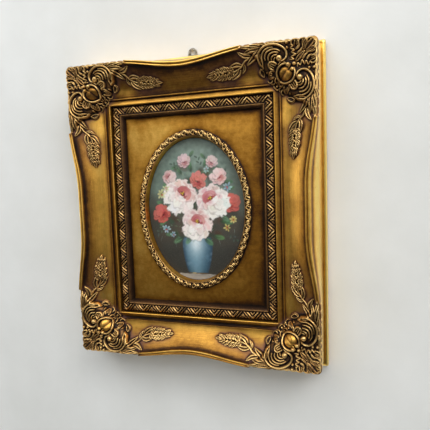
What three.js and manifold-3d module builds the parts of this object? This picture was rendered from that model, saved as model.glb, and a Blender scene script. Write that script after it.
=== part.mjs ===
// Framed oval still life: a swept, carved and gilded frame, a narrow carved inner frame,
// a gilded slip with an oval opening, the painted board behind it, and a stamped hanging eye.
// Millimetres. X to the right, Z up, the front faces -Y, the back plane is Y = 0.
// The origin is where the hanging eye bears: the top of its hole, on the back plane.
// Sections are written as (t, d): t inwards from the outer back edge, d forwards from the back plane.

import * as THREE from 'three';
import { mergeVertices } from 'three/addons/utils/BufferGeometryUtils.js';
import Module from 'manifold-3d';

const wasm = await Module();
wasm.setup();

// ---- driving sizes -------------------------------------------------------
const FRAME_W = 314.0;          // outer width at the back
const FRAME_H = 371.2;          // outer height at the back
const RAIL = 55.0;              // width of the swept moulding, back edge to sight edge
const FRONT = 48.6;             // height of the lip over the back plane
const LIP_MID = 20.0;           // lip, inwards of the back edge, in the middle of each rail
const LIP_END = 9.5;            // the same beside the corner ornaments
const SWEEP_FROM = 70.0;        // the lip's curve starts this far from the corner
const SWEEP_TO = 160.0;         // and has reached LIP_MID here
const SIGHT_D = 28.6;           // front of the sloping fillet at the sight edge
const REBATE_D = 20.0;          // depth of the rebate that takes the inner frame
const REBATE_T = 49.5;          // its side
const GAP = 0.3;                // play between the pieces

const LINER_T0 = REBATE_T + GAP;      // inner frame: outer side
const LINER_FACE_T = 56.6;            // its carved face starts here, past a dark gap
const LINER_T1 = 71.0;                // its inner side
const LINER_BACK = 5.0;
const LINER_REBATE_D = 18.3;
const LINER_REBATE_T = 63.8;
const CHEVRON = 14.6;                 // half a repeat of the zigzag

const SLIP_D = 18.0, SLIP_BACK = 13.0; // panel front and back
const OVAL_A = 72.2, OVAL_B = 97.3;   // outer edge of the carved oval ring
const RING_W = 9.8, RING_H = 4.6;     // ring with its inner bevel, and its height over the panel
const RING_STEPS = 40;

const BOARD_W = 152.0, BOARD_H = 204.0, BOARD_T = 3.0, BOARD_D = 12.7;

const EYE_ABOVE = 10.6;         // top of the hanging eye over the top of the frame
const EYE_R = 5.6, EYE_HOLE_R = 3.0, EYE_T = 1.6;
const PLATE_W = 16.0, PLATE_DROP = 20.0;
const RECESS_D = 2.1;

const HW = FRAME_W / 2, HH = FRAME_H / 2;
const EYE_TOP = EYE_R - EYE_HOLE_R;               // z of the eye's top edge
const ZC = EYE_TOP - EYE_ABOVE - HH;              // z of the frame's centre

// ---- helpers -------------------------------------------------------------
const lerp = (a, b, f) => a + (b - a) * f;
const ease = (x) => { const c = Math.min(1, Math.max(0, x)); return (1 - Math.cos(Math.PI * c)) / 2; };

function solidOf(geometry) {
  const g = geometry.index ? geometry.clone() : mergeVertices(geometry.clone());
  for (const name of Object.keys(g.attributes)) if (name !== 'position') g.deleteAttribute(name);
  const m = outward(mergeVertices(g, 1e-4));
  const pos = m.attributes.position.array;
  const idx = [];
  for (let i = 0; i < m.index.count; i += 3) {
    const a = m.index.getX(i), b = m.index.getX(i + 1), c = m.index.getX(i + 2);
    if (a !== b && b !== c && c !== a) idx.push(a, b, c);
  }
  return new wasm.Manifold(new wasm.Mesh({ numProp: 3, vertProperties: new Float32Array(pos), triVerts: new Uint32Array(idx) }));
}

function geometryOf(solid) {
  const mesh = solid.getMesh();
  const n = mesh.numProp, count = mesh.vertProperties.length / n;
  const pos = new Float32Array(count * 3);
  for (let i = 0; i < count; i++) for (let k = 0; k < 3; k++) pos[3 * i + k] = mesh.vertProperties[n * i + k];
  const g = new THREE.BufferGeometry();
  g.setAttribute('position', new THREE.BufferAttribute(pos, 3));
  g.setIndex(new THREE.BufferAttribute(new Uint32Array(mesh.triVerts), 1));
  return g;
}

function meshGeometry(points, triangles) {
  const g = new THREE.BufferGeometry();
  g.setAttribute('position', new THREE.BufferAttribute(new Float32Array(points.flat()), 3));
  g.setIndex(triangles.flat());
  return g;
}

// A closed band: rings[i][j] is point j of section i; both directions close on themselves.
function closedBand(rings) {
  const n = rings.length, m = rings[0].length, pts = rings.flat(), tris = [];
  for (let i = 0; i < n; i++) for (let j = 0; j < m; j++) {
    const a = i * m + j, b = i * m + (j + 1) % m;
    const c = ((i + 1) % n) * m + (j + 1) % m, d = ((i + 1) % n) * m + j;
    tris.push([a, b, c], [a, c, d]);
  }
  return meshGeometry(pts, tris);
}

function turned(geometry) {              // same shape, faces turned over
  const g = geometry.clone(), idx = g.index.array;
  for (let i = 0; i < idx.length; i += 3) { const t = idx[i + 1]; idx[i + 1] = idx[i + 2]; idx[i + 2] = t; }
  return g;
}

function outward(geometry) {
  const p = geometry.attributes.position, ix = geometry.index;
  let v = 0;
  const a = new THREE.Vector3(), b = new THREE.Vector3(), c = new THREE.Vector3();
  for (let i = 0; i < ix.count; i += 3) {
    a.fromBufferAttribute(p, ix.getX(i)); b.fromBufferAttribute(p, ix.getX(i + 1)); c.fromBufferAttribute(p, ix.getX(i + 2));
    v += a.dot(b.clone().cross(c));
  }
  return v < 0 ? turned(geometry) : geometry;
}

// Where a scroll bridges a hollow of the ground, the gesso fills it: inner shells are dropped.
function withoutVoids(geometry) {
  const shells = solidOf(mergeVertices(geometry, 1e-3)).decompose();
  let best = shells[0];
  for (const s of shells) if (s.volume() > best.volume()) best = s;
  return geometryOf(best);
}

// A mitred ring of moulding. stations(length) gives the distances from a corner at which a
// section is laid, up to the middle; section(s, k) gives its (t, d) points.
function mouldingRing(halfW, halfH, stations, section) {
  const rings = [];
  const sides = [
    { half: halfW, put: (u, t, d) => [u, -d, ZC + halfH - t] },
    { half: halfH, put: (u, t, d) => [halfW - t, -d, ZC - u] },
    { half: halfW, put: (u, t, d) => [-u, -d, ZC - halfH + t] },
    { half: halfH, put: (u, t, d) => [-(halfW - t), -d, ZC + u] },
  ];
  let k = 0;
  for (const side of sides) {
    const up = stations(side.half);                           // 0 .. half
    const list = up.map((s) => [-1, s]).concat(up.slice(0, -1).reverse().map((s) => [1, s]));
    for (let i = 0; i < list.length - 1; i++) {               // the last one is the next side's first
      const [sign, s] = list[i];
      const q = sign * (1 - s / side.half);
      rings.push(section(s, k++).map(([t, d]) => side.put((side.half - t) * q, t, d)));
    }
  }
  return outward(closedBand(rings));
}

// ---- outer frame: the swept moulding ------------------------------------
const lipAt = (s) => lerp(LIP_END, LIP_MID, ease((s - SWEEP_FROM) / (SWEEP_TO - SWEEP_FROM)));
const COVE_T = 45.8, COVE_D = 28.3, COVE_TOP = 44.4;

function mouldingSection(s) {
  const tl = lipAt(s), f = (tl - LIP_END) / (LIP_MID - LIP_END);
  const crease = lerp(5.4, 13.2, f), outerBead = lerp(6.4, 15.9, f), quirk = lerp(8.1, 18.2, f);
  const pts = [
    [0, 0], [0, 7.2], [1.2, 9.6], [3.6, 9.6], [4.8, 8.8],
    [lerp(4.9, crease, 0.36), 29.0], [crease, 41.6], [outerBead - 0.8, 45.4], [outerBead + 0.5, FRONT],
    [quirk, FRONT - 1.7], [tl - 0.3, FRONT], [tl + 0.9, FRONT - 2.0],
  ];
  for (const c of [0.07, 0.27, 0.52, 0.80]) {
    pts.push([lerp(tl + 1.2, COVE_T, c), COVE_D + (COVE_TOP - COVE_D) * (1 - c) ** 1.7]);
  }
  pts.push([46.2, 28.0], [47.4, 29.2], [48.8, 26.6], [54.2, SIGHT_D + 0.6], [RAIL, SIGHT_D],
    [RAIL, REBATE_D], [REBATE_T, REBATE_D], [REBATE_T, 0]);
  return pts;
}

const mouldingStations = (half) => [0, 64, 86, 104, 122, 140].concat(half > 165 ? [162, half] : [half]);
let frame = solidOf(mouldingRing(HW, HH, mouldingStations, mouldingSection));

// ---- outer frame: one corner ornament, in (a, b, d) ----------------------
// a runs inwards from the side edge, b inwards from the top or bottom edge, d forwards.
const flip = ([a, b, ...rest]) => [b, a, ...rest];            // mirror about the mitre

function mapped(geometry, fn) {
  const g = geometry.clone(), p = g.attributes.position, v = new THREE.Vector3();
  for (let i = 0; i < p.count; i++) { v.fromBufferAttribute(p, i); const q = fn(v.x, v.y, v.z); p.setXYZ(i, ...q); }
  return g;
}

function roundTube(points, radius, steps, sides = 6) {
  const path = new THREE.CatmullRomCurve3(points.map((p) => new THREE.Vector3(...p)));
  const ring = new THREE.Shape();
  for (let i = 0; i < sides; i++) {
    const w = (2 * Math.PI * (i + 0.5)) / sides;
    const x = radius * Math.cos(w), y = radius * Math.sin(w);
    i ? ring.lineTo(x, y) : ring.moveTo(x, y);
  }
  ring.closePath();
  return solidOf(new THREE.ExtrudeGeometry(ring, { steps, extrudePath: path, bevelEnabled: false }));
}

function ball(a, b, d, r, flat = 1, w = 8, h = 5) {
  return solidOf(mapped(new THREE.SphereGeometry(r, w, h), (x, y, z) => [a + x, b + z, d + y * flat]));
}

function outlineSolid(outline, bottom, top) {                 // prism whose faces follow functions of (a, b)
  const shape = new THREE.Shape(outline.map(([a, b]) => new THREE.Vector2(a, b)));
  const g = new THREE.ExtrudeGeometry(shape, { depth: 1, steps: 1, bevelEnabled: false });
  return solidOf(mapped(g, (x, y, z) => [x, y, z > 0.5 ? top(x, y) : bottom(x, y)]));
}

// height of the ornament's ground: falls from the lip towards the sight edge
const groundD = (a, b) => 45.8 - 0.26 * (Math.min(a, b) - 8);
const coveAt = (t) => {
  if (t <= LIP_MID) return COVE_TOP;
  const c = Math.min(1, (t - LIP_MID) / (COVE_T - LIP_MID));
  return COVE_D + (COVE_TOP - COVE_D) * (1 - c) ** 1.7;
};

// the carved ground: outer edge, scalloped inner edge past the two scrolls, down to the fillet corner
const PAD_EDGE = [[88, 9], [80, 13], [72, 18], [67.5, 24], [68, 30], [61, 33], [57, 40], [56.5, 46], [54, 50]];
function padOutline() {
  const pts = [[7.4, 10.5], [8.4, 8.4], [10.5, 7.4], [50, 7.2]];
  for (const p of PAD_EDGE) pts.push(p);
  pts.push([52.4, 52.4]);
  for (const p of [...PAD_EDGE].reverse()) pts.push(flip(p));
  pts.push([7.2, 50]);
  return pts;
}
const pad = outlineSolid(padOutline(), () => 21.5, () => 60);
// everything above both slopes is taken off, which leaves a hip along the mitre
function slopeCutter(along) {
  const box = new THREE.BoxGeometry(200, 200, 60).translate(60, 60, 30);
  return solidOf(mapped(box, (x, y, z) => [x, y, z + 45.8 - 0.26 * ((along ? x : y) - 8)]));
}
let ornament = pad.subtract(slopeCutter(true).intersect(slopeCutter(false)));

// cartouche: open raised ring with curled ends towards the outer corner, and a smooth boss
const CART = [38.6, 41.0], CART_R = 9.6;
const ringPts = [];
for (let i = 0; i <= 10; i++) {
  const w = THREE.MathUtils.degToRad(lerp(-112, 202, i / 10));
  ringPts.push([CART[0] + CART_R * Math.cos(w), CART[1] + CART_R * 1.04 * Math.sin(w), 41.8]);
}
ornament = ornament
  .add(ball(36.4, 38.6, 32.0, 15.5, 0.66, 8, 6))              // the swelling that carries it
  .add(roundTube(ringPts, 1.7, 10, 4))
  .add(ball(CART[0], CART[1], 38.6, 7.2, 0.88, 8, 5))
  .add(ball(36.9, 34.0, 42.4, 2.1, 1.3, 6, 4))
  .add(ball(32.2, 38.2, 42.4, 2.1, 1.3, 6, 4))
  .add(ball(31.0, 32.0, 41.8, 2.0, 1.4, 6, 4));

// two C-scrolls, one along each rail, each with a ball in its eye and a fluted inside
const SCROLL = [[26.2, 43.4], [22.6, 37.8], [17.6, 38.6], [12.8, 43.4], [10.8, 50.6], [11.8, 57.4], [15.4, 63.2], [20.6, 66.8], [26.6, 67.6], [30.4, 64.6]];
const FLUTE = [[18.4, 43.6], [16.4, 49.4], [17.4, 55.6], [21.4, 59.8], [26.6, 60.8]];
for (const side of [(p) => p, flip]) {
  const lift = (list, h) => list.map(([a, b]) => { const q = side([a, b]); return [...q, groundD(...q) + h]; });
  ornament = ornament
    .add(roundTube(lift(SCROLL, 1.7), 1.9, 8, 4))
    .add(roundTube(lift(FLUTE, 0.9), 1.5, 4, 3))
    .add(ball(...side([24.6, 46.2]), 45.0, 3.0, 1.6, 6, 5));
}

// leaf spray lying in the cove of each rail: pointed, lobed, tapering towards the middle
const SPRAY_FROM = 76, SPRAY_TO = 128.5, SPRAY_LOBES = 4;
function sprayOutline() {
  const up = [], down = [];
  const n = 2 * SPRAY_LOBES;
  for (let i = 0; i <= n; i++) {
    const f = i / n, a = lerp(SPRAY_FROM, SPRAY_TO, f);
    const mid = lerp(19.5, 33.5, Math.sin((Math.PI / 2) * Math.min(1, f * 1.25)));
    const half = i === 0 ? 1.2 : (1.4 + 5.4 * Math.sin(Math.PI * Math.pow(f, 1.35))) * (i % 2 ? 1.18 : 0.82);
    if (i < n) { up.push([a, mid - half]); down.push([a, mid + half]); } else up.push([a, mid]);
  }
  return up.concat(down.reverse());
}
const spray = sprayOutline();
for (const side of [(p) => p, flip]) {
  const across = (a, b) => Math.min(a, b);
  ornament = ornament.add(outlineSolid(spray.map(side), () => 18, (a, b) => coveAt(across(a, b)) + 3.4 - 1.2 * Math.max(0, 24 - across(a, b)) / 5));
}

const local = geometryOf(ornament);
for (const [sx, sz] of [[-1, 1], [1, 1], [-1, -1], [1, -1]]) {
  let g = mapped(local, (a, b, d) => [sx * (HW - a), -d, ZC + sz * (HH - b)]);
  g = outward(g);
  frame = frame.add(solidOf(g));
}

// shallow recess in the back of the top rail for the hanging plate, open at the top edge
const recess = new THREE.BoxGeometry(PLATE_W + 0.8, 2 * RECESS_D, PLATE_DROP + 0.6 + 10)
  .translate(0, 0, ZC + HH - PLATE_DROP - 0.6 + (PLATE_DROP + 0.6 + 10) / 2);
frame = frame.subtract(solidOf(recess));

// ---- inner frame: narrow carved band with a raised zigzag -----------------
function linerSection(s, k) {
  const out = k % 2 === 0;
  return [
    [LINER_T0, LINER_BACK], [LINER_T0, REBATE_D - GAP], [LINER_FACE_T, REBATE_D - GAP], [LINER_FACE_T, 25.0],
    [out ? 58.9 : 62.8, 27.0], [64.6, 25.2], [65.3, 24.7], [66.6, 25.9], [68.4, 24.2],
    [70.0, 21.8], [LINER_T1, LINER_REBATE_D], [LINER_REBATE_T, LINER_REBATE_D], [LINER_REBATE_T, LINER_BACK],
  ];
}
function linerStations(half) {
  const inner = half - 60, n = Math.round(inner / CHEVRON / 2) * 2, list = [0];
  for (let i = 1; i <= n; i++) list.push(half * (1 - (1 - i / n)));
  return list;
}
const liner = solidOf(mouldingRing(HW, HH, linerStations, linerSection));

// ---- slip: flat panel with a carved ring round the oval opening -----------
const SLIP_W = HW - LINER_REBATE_T - GAP, SLIP_H = HH - LINER_REBATE_T - GAP;
const corner = Math.atan2(SLIP_H, SLIP_W);
const angles = [];
for (let i = 0; i < RING_STEPS; i++) angles.push((2 * Math.PI * i) / RING_STEPS);
for (const c of [corner, Math.PI - corner, Math.PI + corner, 2 * Math.PI - corner]) {
  let best = 0;
  angles.forEach((w, i) => { if (Math.abs(w - c) < Math.abs(angles[best] - c)) best = i; });
  angles[best] = c;
}
const slipRings = angles.map((w, i) => {
  const cw = Math.cos(w), sw = Math.sin(w);
  const k = Math.min(SLIP_W / Math.max(1e-9, Math.abs(cw)), SLIP_H / Math.max(1e-9, Math.abs(sw)));
  const e = (off) => { const a = OVAL_A - off, b = OVAL_B - off, r = 1 / Math.hypot(cw / a, sw / b); return [r * cw, r * sw]; };
  const crest = RING_H - (i % 2 ? 0 : 0.7);
  const at = ([x, z], d) => [x, -d, ZC + z];
  return [
    at([k * cw, k * sw], SLIP_D), at(e(0), SLIP_D), at(e(0.3), SLIP_D + 1.6), at(e(3.0), SLIP_D + crest),
    at(e(6.4), SLIP_D + crest - 0.4), at(e(7.8), SLIP_D + 2.4), at(e(RING_W), SLIP_BACK), at([k * cw, k * sw], SLIP_BACK),
  ];
});
const slip = solidOf(outward(closedBand(slipRings)));

// ---- painted board --------------------------------------------------------
const board = new THREE.BoxGeometry(BOARD_W, BOARD_T, BOARD_H).translate(0, -(BOARD_D - BOARD_T / 2), ZC);

// ---- hanging eye: stamped plate, its foot let into the back of the top rail -
const eye = new THREE.Shape();
const footZ = ZC + HH - PLATE_DROP, shoulderZ = ZC + HH - 2.0;
eye.moveTo(-PLATE_W / 2 + 1.5, footZ);
eye.lineTo(PLATE_W / 2 - 1.5, footZ);
eye.lineTo(PLATE_W / 2, footZ + 1.5);
eye.lineTo(PLATE_W / 2, shoulderZ);
for (let i = 0; i <= 10; i++) {
  const w = THREE.MathUtils.degToRad(lerp(8, 172, i / 10));
  eye.lineTo(EYE_R * Math.cos(w), -EYE_HOLE_R + EYE_R * Math.sin(w));
}
eye.lineTo(-PLATE_W / 2, shoulderZ);
eye.lineTo(-PLATE_W / 2, footZ + 1.5);
eye.closePath();
const hole = (x, z, r, n) => {
  const p = new THREE.Path();
  for (let i = 0; i < n; i++) { const w = (2 * Math.PI * (i + 0.5)) / n; const q = [x + (r / Math.cos(Math.PI / n)) * Math.cos(w), z + (r / Math.cos(Math.PI / n)) * Math.sin(w)]; i ? p.lineTo(...q) : p.moveTo(...q); }
  p.closePath();
  return p;
};
eye.holes.push(hole(0, -EYE_HOLE_R, EYE_HOLE_R, 16), hole(-4.6, footZ + 9, 1.2, 8), hole(4.6, footZ + 9, 1.2, 8));
const eyeGeometry = new THREE.ExtrudeGeometry(eye, { depth: EYE_T, steps: 1, bevelEnabled: false });
// drawn in (x, z), thickness towards the back: the plate runs from d = EYE_T + 0.2 to d = 0.2
const hanger = solidOf(mapped(eyeGeometry, (x, y, z) => [x, -(EYE_T + 0.2) + z, y]));

// ---- the object -------------------------------------------------------------
const gilt = (color, roughness) => new THREE.MeshStandardMaterial({ color, roughness, metalness: 0.6 });
const paintedFrame = new THREE.Group();
function piece(name, geometry, material) {
  const mesh = new THREE.Mesh(outward(geometry), material);
  mesh.name = name;
  paintedFrame.add(mesh);
}
const holdUp = (g) => { const m = mergeVertices((() => { const c = g.clone(); for (const n of Object.keys(c.attributes)) if (n !== 'position') c.deleteAttribute(n); return c; })()); return m; };

piece('outer_frame', withoutVoids(geometryOf(frame)), gilt(0xb58a3c, 0.42));
piece('inner_frame', geometryOf(liner), gilt(0x8c6a38, 0.5));
piece('oval_slip', geometryOf(slip), gilt(0x94691f, 0.48));
piece('painting', holdUp(board), new THREE.MeshStandardMaterial({ color: 0x5f6f6c, roughness: 0.6, metalness: 0 }));
piece('hanger', geometryOf(hanger), new THREE.MeshStandardMaterial({ color: 0xa8a08c, roughness: 0.4, metalness: 0.9 }));

export default paintedFrame;
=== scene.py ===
"""Framed oval still life in a swept, carved and gilded frame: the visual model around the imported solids.

Sizes below are in millimetres in the solids' own frame (X right, Z up, front towards -Y, back plane Y = 0),
and are turned into metres when a mesh is made. (a, b) are a corner's own coordinates: a inwards from the
side edge, b inwards from the top or bottom edge; t is the distance inwards on a rail, s along it from the
corner, d forwards from the back plane.
"""

import math

import bpy
import numpy as np
from mathutils import Matrix


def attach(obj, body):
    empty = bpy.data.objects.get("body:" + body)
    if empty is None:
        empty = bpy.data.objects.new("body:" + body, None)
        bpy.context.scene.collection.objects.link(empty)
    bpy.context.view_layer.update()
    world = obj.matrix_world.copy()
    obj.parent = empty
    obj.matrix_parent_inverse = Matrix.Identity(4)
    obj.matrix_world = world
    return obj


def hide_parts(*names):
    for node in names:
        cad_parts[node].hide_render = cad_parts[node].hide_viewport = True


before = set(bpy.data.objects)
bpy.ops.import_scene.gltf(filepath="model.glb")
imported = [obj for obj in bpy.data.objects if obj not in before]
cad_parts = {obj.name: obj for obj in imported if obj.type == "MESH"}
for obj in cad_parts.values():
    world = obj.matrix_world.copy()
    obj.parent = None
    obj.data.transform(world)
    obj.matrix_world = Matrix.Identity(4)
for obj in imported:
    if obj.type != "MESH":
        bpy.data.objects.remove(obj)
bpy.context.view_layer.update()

# ------------------------------------------------------------------ sizes
HW, HH, ZC = 157.0, 185.6, -193.6
RAIL, REBATE_D, REBATE_T = 55.0, 20.0, 49.5
S_END = 131.0                       # a corner piece ends this far along each rail
LINER_T0, LINER_FACE_T, LINER_T1, LINER_BACK = 49.8, 56.6, 71.0, 5.0
LINER_REBATE_D, LINER_REBATE_T = 18.3, 63.8
SLIP_D, SLIP_BACK = 18.0, 13.0
OVAL_A, OVAL_B, RING_W = 72.2, 97.3, 9.8
BOARD_W, BOARD_H, BOARD_T, BOARD_D = 152.0, 204.0, 3.0, 12.7
D_MAX = 49.55                       # nothing stands further forward than this


def lerp(a, b, f):
    return a + (b - a) * f


def smooth(x):
    x = np.clip(x, 0, 1)
    return x * x * (3 - 2 * x)


def lip(s):
    return 9.5 + 10.5 * (1 - np.cos(np.pi * np.clip((np.asarray(s, float) - 70) / 90, 0, 1))) / 2


# ------------------------------------------------------------------ moulding profile
def knots(s):
    tl = lip(s)
    f = (tl - 9.5) / 10.5
    one = np.ones_like(tl)
    return np.stack([lerp(5.4, 13.2, f), lerp(6.5, 16.0, f), lerp(8.1, 18.2, f), tl + 0.1, tl + 1.2,
                     45.8 * one, 46.2 * one, 47.4 * one, 48.6 * one, 48.9 * one, 54.2 * one, 55.0 * one], -1)


def profile_table():
    n = 40
    x = np.linspace(0, 1, n, endpoint=False)
    q = np.sqrt(np.clip(1 - x * x, 0, 1))
    r = np.sqrt(np.clip(1 - (1 - x) ** 2, 0, 1))
    parts = [
        41.6 + 7.0 * (1 - (1 - x) ** 2.2),
        46.6 + 2.0 * q,
        46.6 + 2.0 * r,
        44.5 + 4.1 * q,
        28.3 + 16.2 * (1 - x) ** 1.7,
        28.3 - 0.5 * x,
        27.8 + 1.5 * np.sin(np.pi / 2 * x),
        26.9 + 2.4 * q,
        26.9 - 0.5 * x,
        26.4 + 2.8 * np.clip(x * 1.0, 0, 1) ** 0.85,
        29.2 - 0.7 * x ** 2,
    ]
    d = np.concatenate(parts + [[28.5]])
    return np.linspace(0, 11, len(d)), d


TABLE_C, TABLE_D = profile_table()


def canon(t, s):
    """Where a point of the moulding lies along its section: 0 at the crease to 11 at the sight edge."""
    k = knots(s)
    t = np.asarray(t, float)[..., None]
    return np.clip((t - k[..., :-1]) / (k[..., 1:] - k[..., :-1]), 0, 1).sum(-1)


def t_of(c, s):
    k = knots(s)
    i = np.clip(np.floor(c).astype(int), 0, 10)
    f = c - i
    return np.take_along_axis(k, i[..., None], -1)[..., 0] * (1 - f) + np.take_along_axis(k, i[..., None] + 1, -1)[..., 0] * f


def base_d(t, s):
    """Front of the plain moulding; beside the corners the beads are cut away for the ornament."""
    d = np.interp(canon(t, s), TABLE_C, TABLE_D)
    k0 = knots(s)[..., 0]
    d = np.where(t < k0, 29 + (t - 4.9) / np.maximum(k0 - 4.9, 0.2) * 12.6, d)
    cap = 43.4 + 6.5 * smooth((np.asarray(s) - 84.5) / 4.0)
    return np.where(d > cap, cap, d)


# ------------------------------------------------------------------ corner ornament on a raster
RES = 0.25
A0 = 2.0
NR = int((190.0 - A0) / RES)
AX = A0 + RES * np.arange(NR)
GA, GB = np.meshgrid(AX, AX, indexing="ij")
GT, GS = np.minimum(GA, GB), np.maximum(GA, GB)


def blur(z, sigma):
    """Gaussian blur; sigma in cells."""
    p = int(3 * sigma) + 2
    w = np.pad(z, p, mode="edge")
    fx = np.fft.fftfreq(w.shape[0])[:, None]
    fy = np.fft.rfftfreq(w.shape[1])[None, :]
    k = np.exp(-2 * (np.pi * sigma) ** 2 * (fx ** 2 + fy ** 2))
    out = np.fft.irfft2(np.fft.rfft2(w) * k, s=w.shape)
    return out[p:-p, p:-p]


def curve(pts, step=0.35):
    P = np.asarray(pts, float)
    ext = np.vstack([2 * P[0] - P[1], P, 2 * P[-1] - P[-2]])
    out = []
    for i in range(len(P) - 1):
        p0, p1, p2, p3 = ext[i:i + 4]
        n = max(2, int(np.hypot(*(p2 - p1)[:2]) / step))
        t = np.linspace(0, 1, n, endpoint=False)[:, None]
        out.append(0.5 * (2 * p1 + (p2 - p0) * t + (2 * p0 - 5 * p1 + 4 * p2 - p3) * t ** 2 + (3 * p1 - p0 - 3 * p2 + p3) * t ** 3))
    out.append(P[-1:])
    return np.vstack(out)


def along(pts, pad, ax=AX, ay=None):
    """Distance to a path for the raster cells near it: slices, signed distance, share of the length, other columns."""
    ay = ax if ay is None else ay
    P = curve(pts)
    lo, hi = P[:, :2].min(0) - pad, P[:, :2].max(0) + pad
    i0, i1 = np.searchsorted(ax, [lo[0], hi[0]])
    j0, j1 = np.searchsorted(ay, [lo[1], hi[1]])
    X, Y = np.meshgrid(ax[i0:i1], ay[j0:j1], indexing="ij")
    q = np.stack([X.ravel(), Y.ravel()], 1)
    a, b = P[:-1, :2], P[1:, :2]
    e = b - a
    n2 = (e * e).sum(1) + 1e-12
    L = np.concatenate([[0], np.cumsum(np.sqrt(n2))])
    best = np.full(len(q), 1e9)
    who = np.zeros(len(q), int)
    frac = np.zeros(len(q))
    side = np.ones(len(q))
    for k in range(len(a)):
        w = q - a[k]
        f = np.clip((w @ e[k]) / n2[k], 0, 1)
        r = w - f[:, None] * e[k]
        d2 = (r * r).sum(1)
        m = d2 < best
        best[m] = d2[m]
        who[m] = k
        frac[m] = f[m]
        side[m] = np.sign(e[k, 0] * w[m, 1] - e[k, 1] * w[m, 0])
    cols = P[who] * (1 - frac[:, None]) + P[who + 1] * frac[:, None]
    u = (L[who] + frac * np.sqrt(n2[who])) / L[-1]
    shape = X.shape
    return (slice(i0, i1), slice(j0, j1)), (np.sqrt(best) * side).reshape(shape), u.reshape(shape), cols.reshape(shape + (-1,)), L[-1]


def swap(pts):
    return [(p[1], p[0]) + tuple(p[2:]) for p in pts]


class Relief:
    """Height raster that strokes are carved on, over a carrier surface."""

    def __init__(self, carrier, ax=AX, ay=None):
        self.car, self.z = carrier, carrier.copy()
        self.ax, self.ay = ax, ax if ay is None else ay

    def put(self, win, h):
        self.z[win] = np.maximum(self.z[win], self.car[win] + h)

    def tube(self, pts, power=0.5):
        """pts: (a, b, half width, height)"""
        pad = max(p[2] for p in pts) + 0.5
        win, x, u, c, _ = along(pts, pad, self.ax, self.ay)
        w, h = c[..., 2], c[..., 3]
        q = 1 - (x / w) ** 2
        self.put(win, np.where(q > 0, h * np.clip(q, 0, 1) ** power, -9))

    def ball(self, a, b, r, h, lift=0.0):
        i0, i1 = np.searchsorted(self.ax, [a - r, a + r])
        j0, j1 = np.searchsorted(self.ay, [b - r, b + r])
        X, Y = np.meshgrid(self.ax[i0:i1], self.ay[j0:j1], indexing="ij")
        q = 1 - ((X - a) ** 2 + (Y - b) ** 2) / r ** 2
        self.put((slice(i0, i1), slice(j0, j1)), np.where(q > 0, lift + h * np.sqrt(np.clip(q, 0, 1)), -9))

    def leaf(self, pts, width, h, veins=0.0, rib=0.5, blunt=0.75, edge=0.0):
        """pts: (a, b) from the root to the tip. A crowned blade with a midrib groove and side veins."""
        win, x, u, c, length = along([tuple(p) for p in pts], width + 0.6, self.ax, self.ay)
        w = width * np.clip(np.sin(np.pi * np.clip(u, 0, 1) ** blunt), 0.02, 1) ** 0.8
        w = np.maximum(w, 0.16 * width * (1 - u))
        q = 1 - (x / w) ** 2
        crown = np.clip(q, 0, 1) ** 0.42
        fine = 1 - rib * np.exp(-(x / (0.26 * width)) ** 2)
        if veins:
            fine = fine - 0.26 * veins * (0.5 + 0.5 * np.cos(2 * np.pi * (u * length - 1.1 * np.abs(x)) / 1.7))
        if edge:
            fine = fine + edge * np.exp(-((np.abs(x) - 0.72 * w) / (0.2 * w)) ** 2)
        self.put(win, np.where((q > 0) & (u > 0.001) & (u < 0.999), h * crown * fine, -9))


PAD_EDGE = [(86, 9), (80, 13), (73, 18), (68.5, 24), (69, 30), (64, 35), (59, 40), (57.5, 46), (54.6, 50)]


def pad_mask():
    pts = [(6.9, 9.5), (7.6, 7.9), (9.5, 6.9), (50, 6.8)] + PAD_EDGE + [(53.2, 53.2)] + swap(PAD_EDGE)[::-1] + [(6.8, 50)]
    P = np.array(pts)
    inside = np.zeros(GA.shape, bool)
    for k in range(len(P)):
        (x0, y0), (x1, y1) = P[k], P[(k + 1) % len(P)]
        if y0 == y1:
            continue
        cross = ((GB >= min(y0, y1)) & (GB < max(y0, y1)) & (GA < x0 + (GB - y0) * (x1 - x0) / (y1 - y0)))
        inside ^= cross
    return inside.astype(float)


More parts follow.
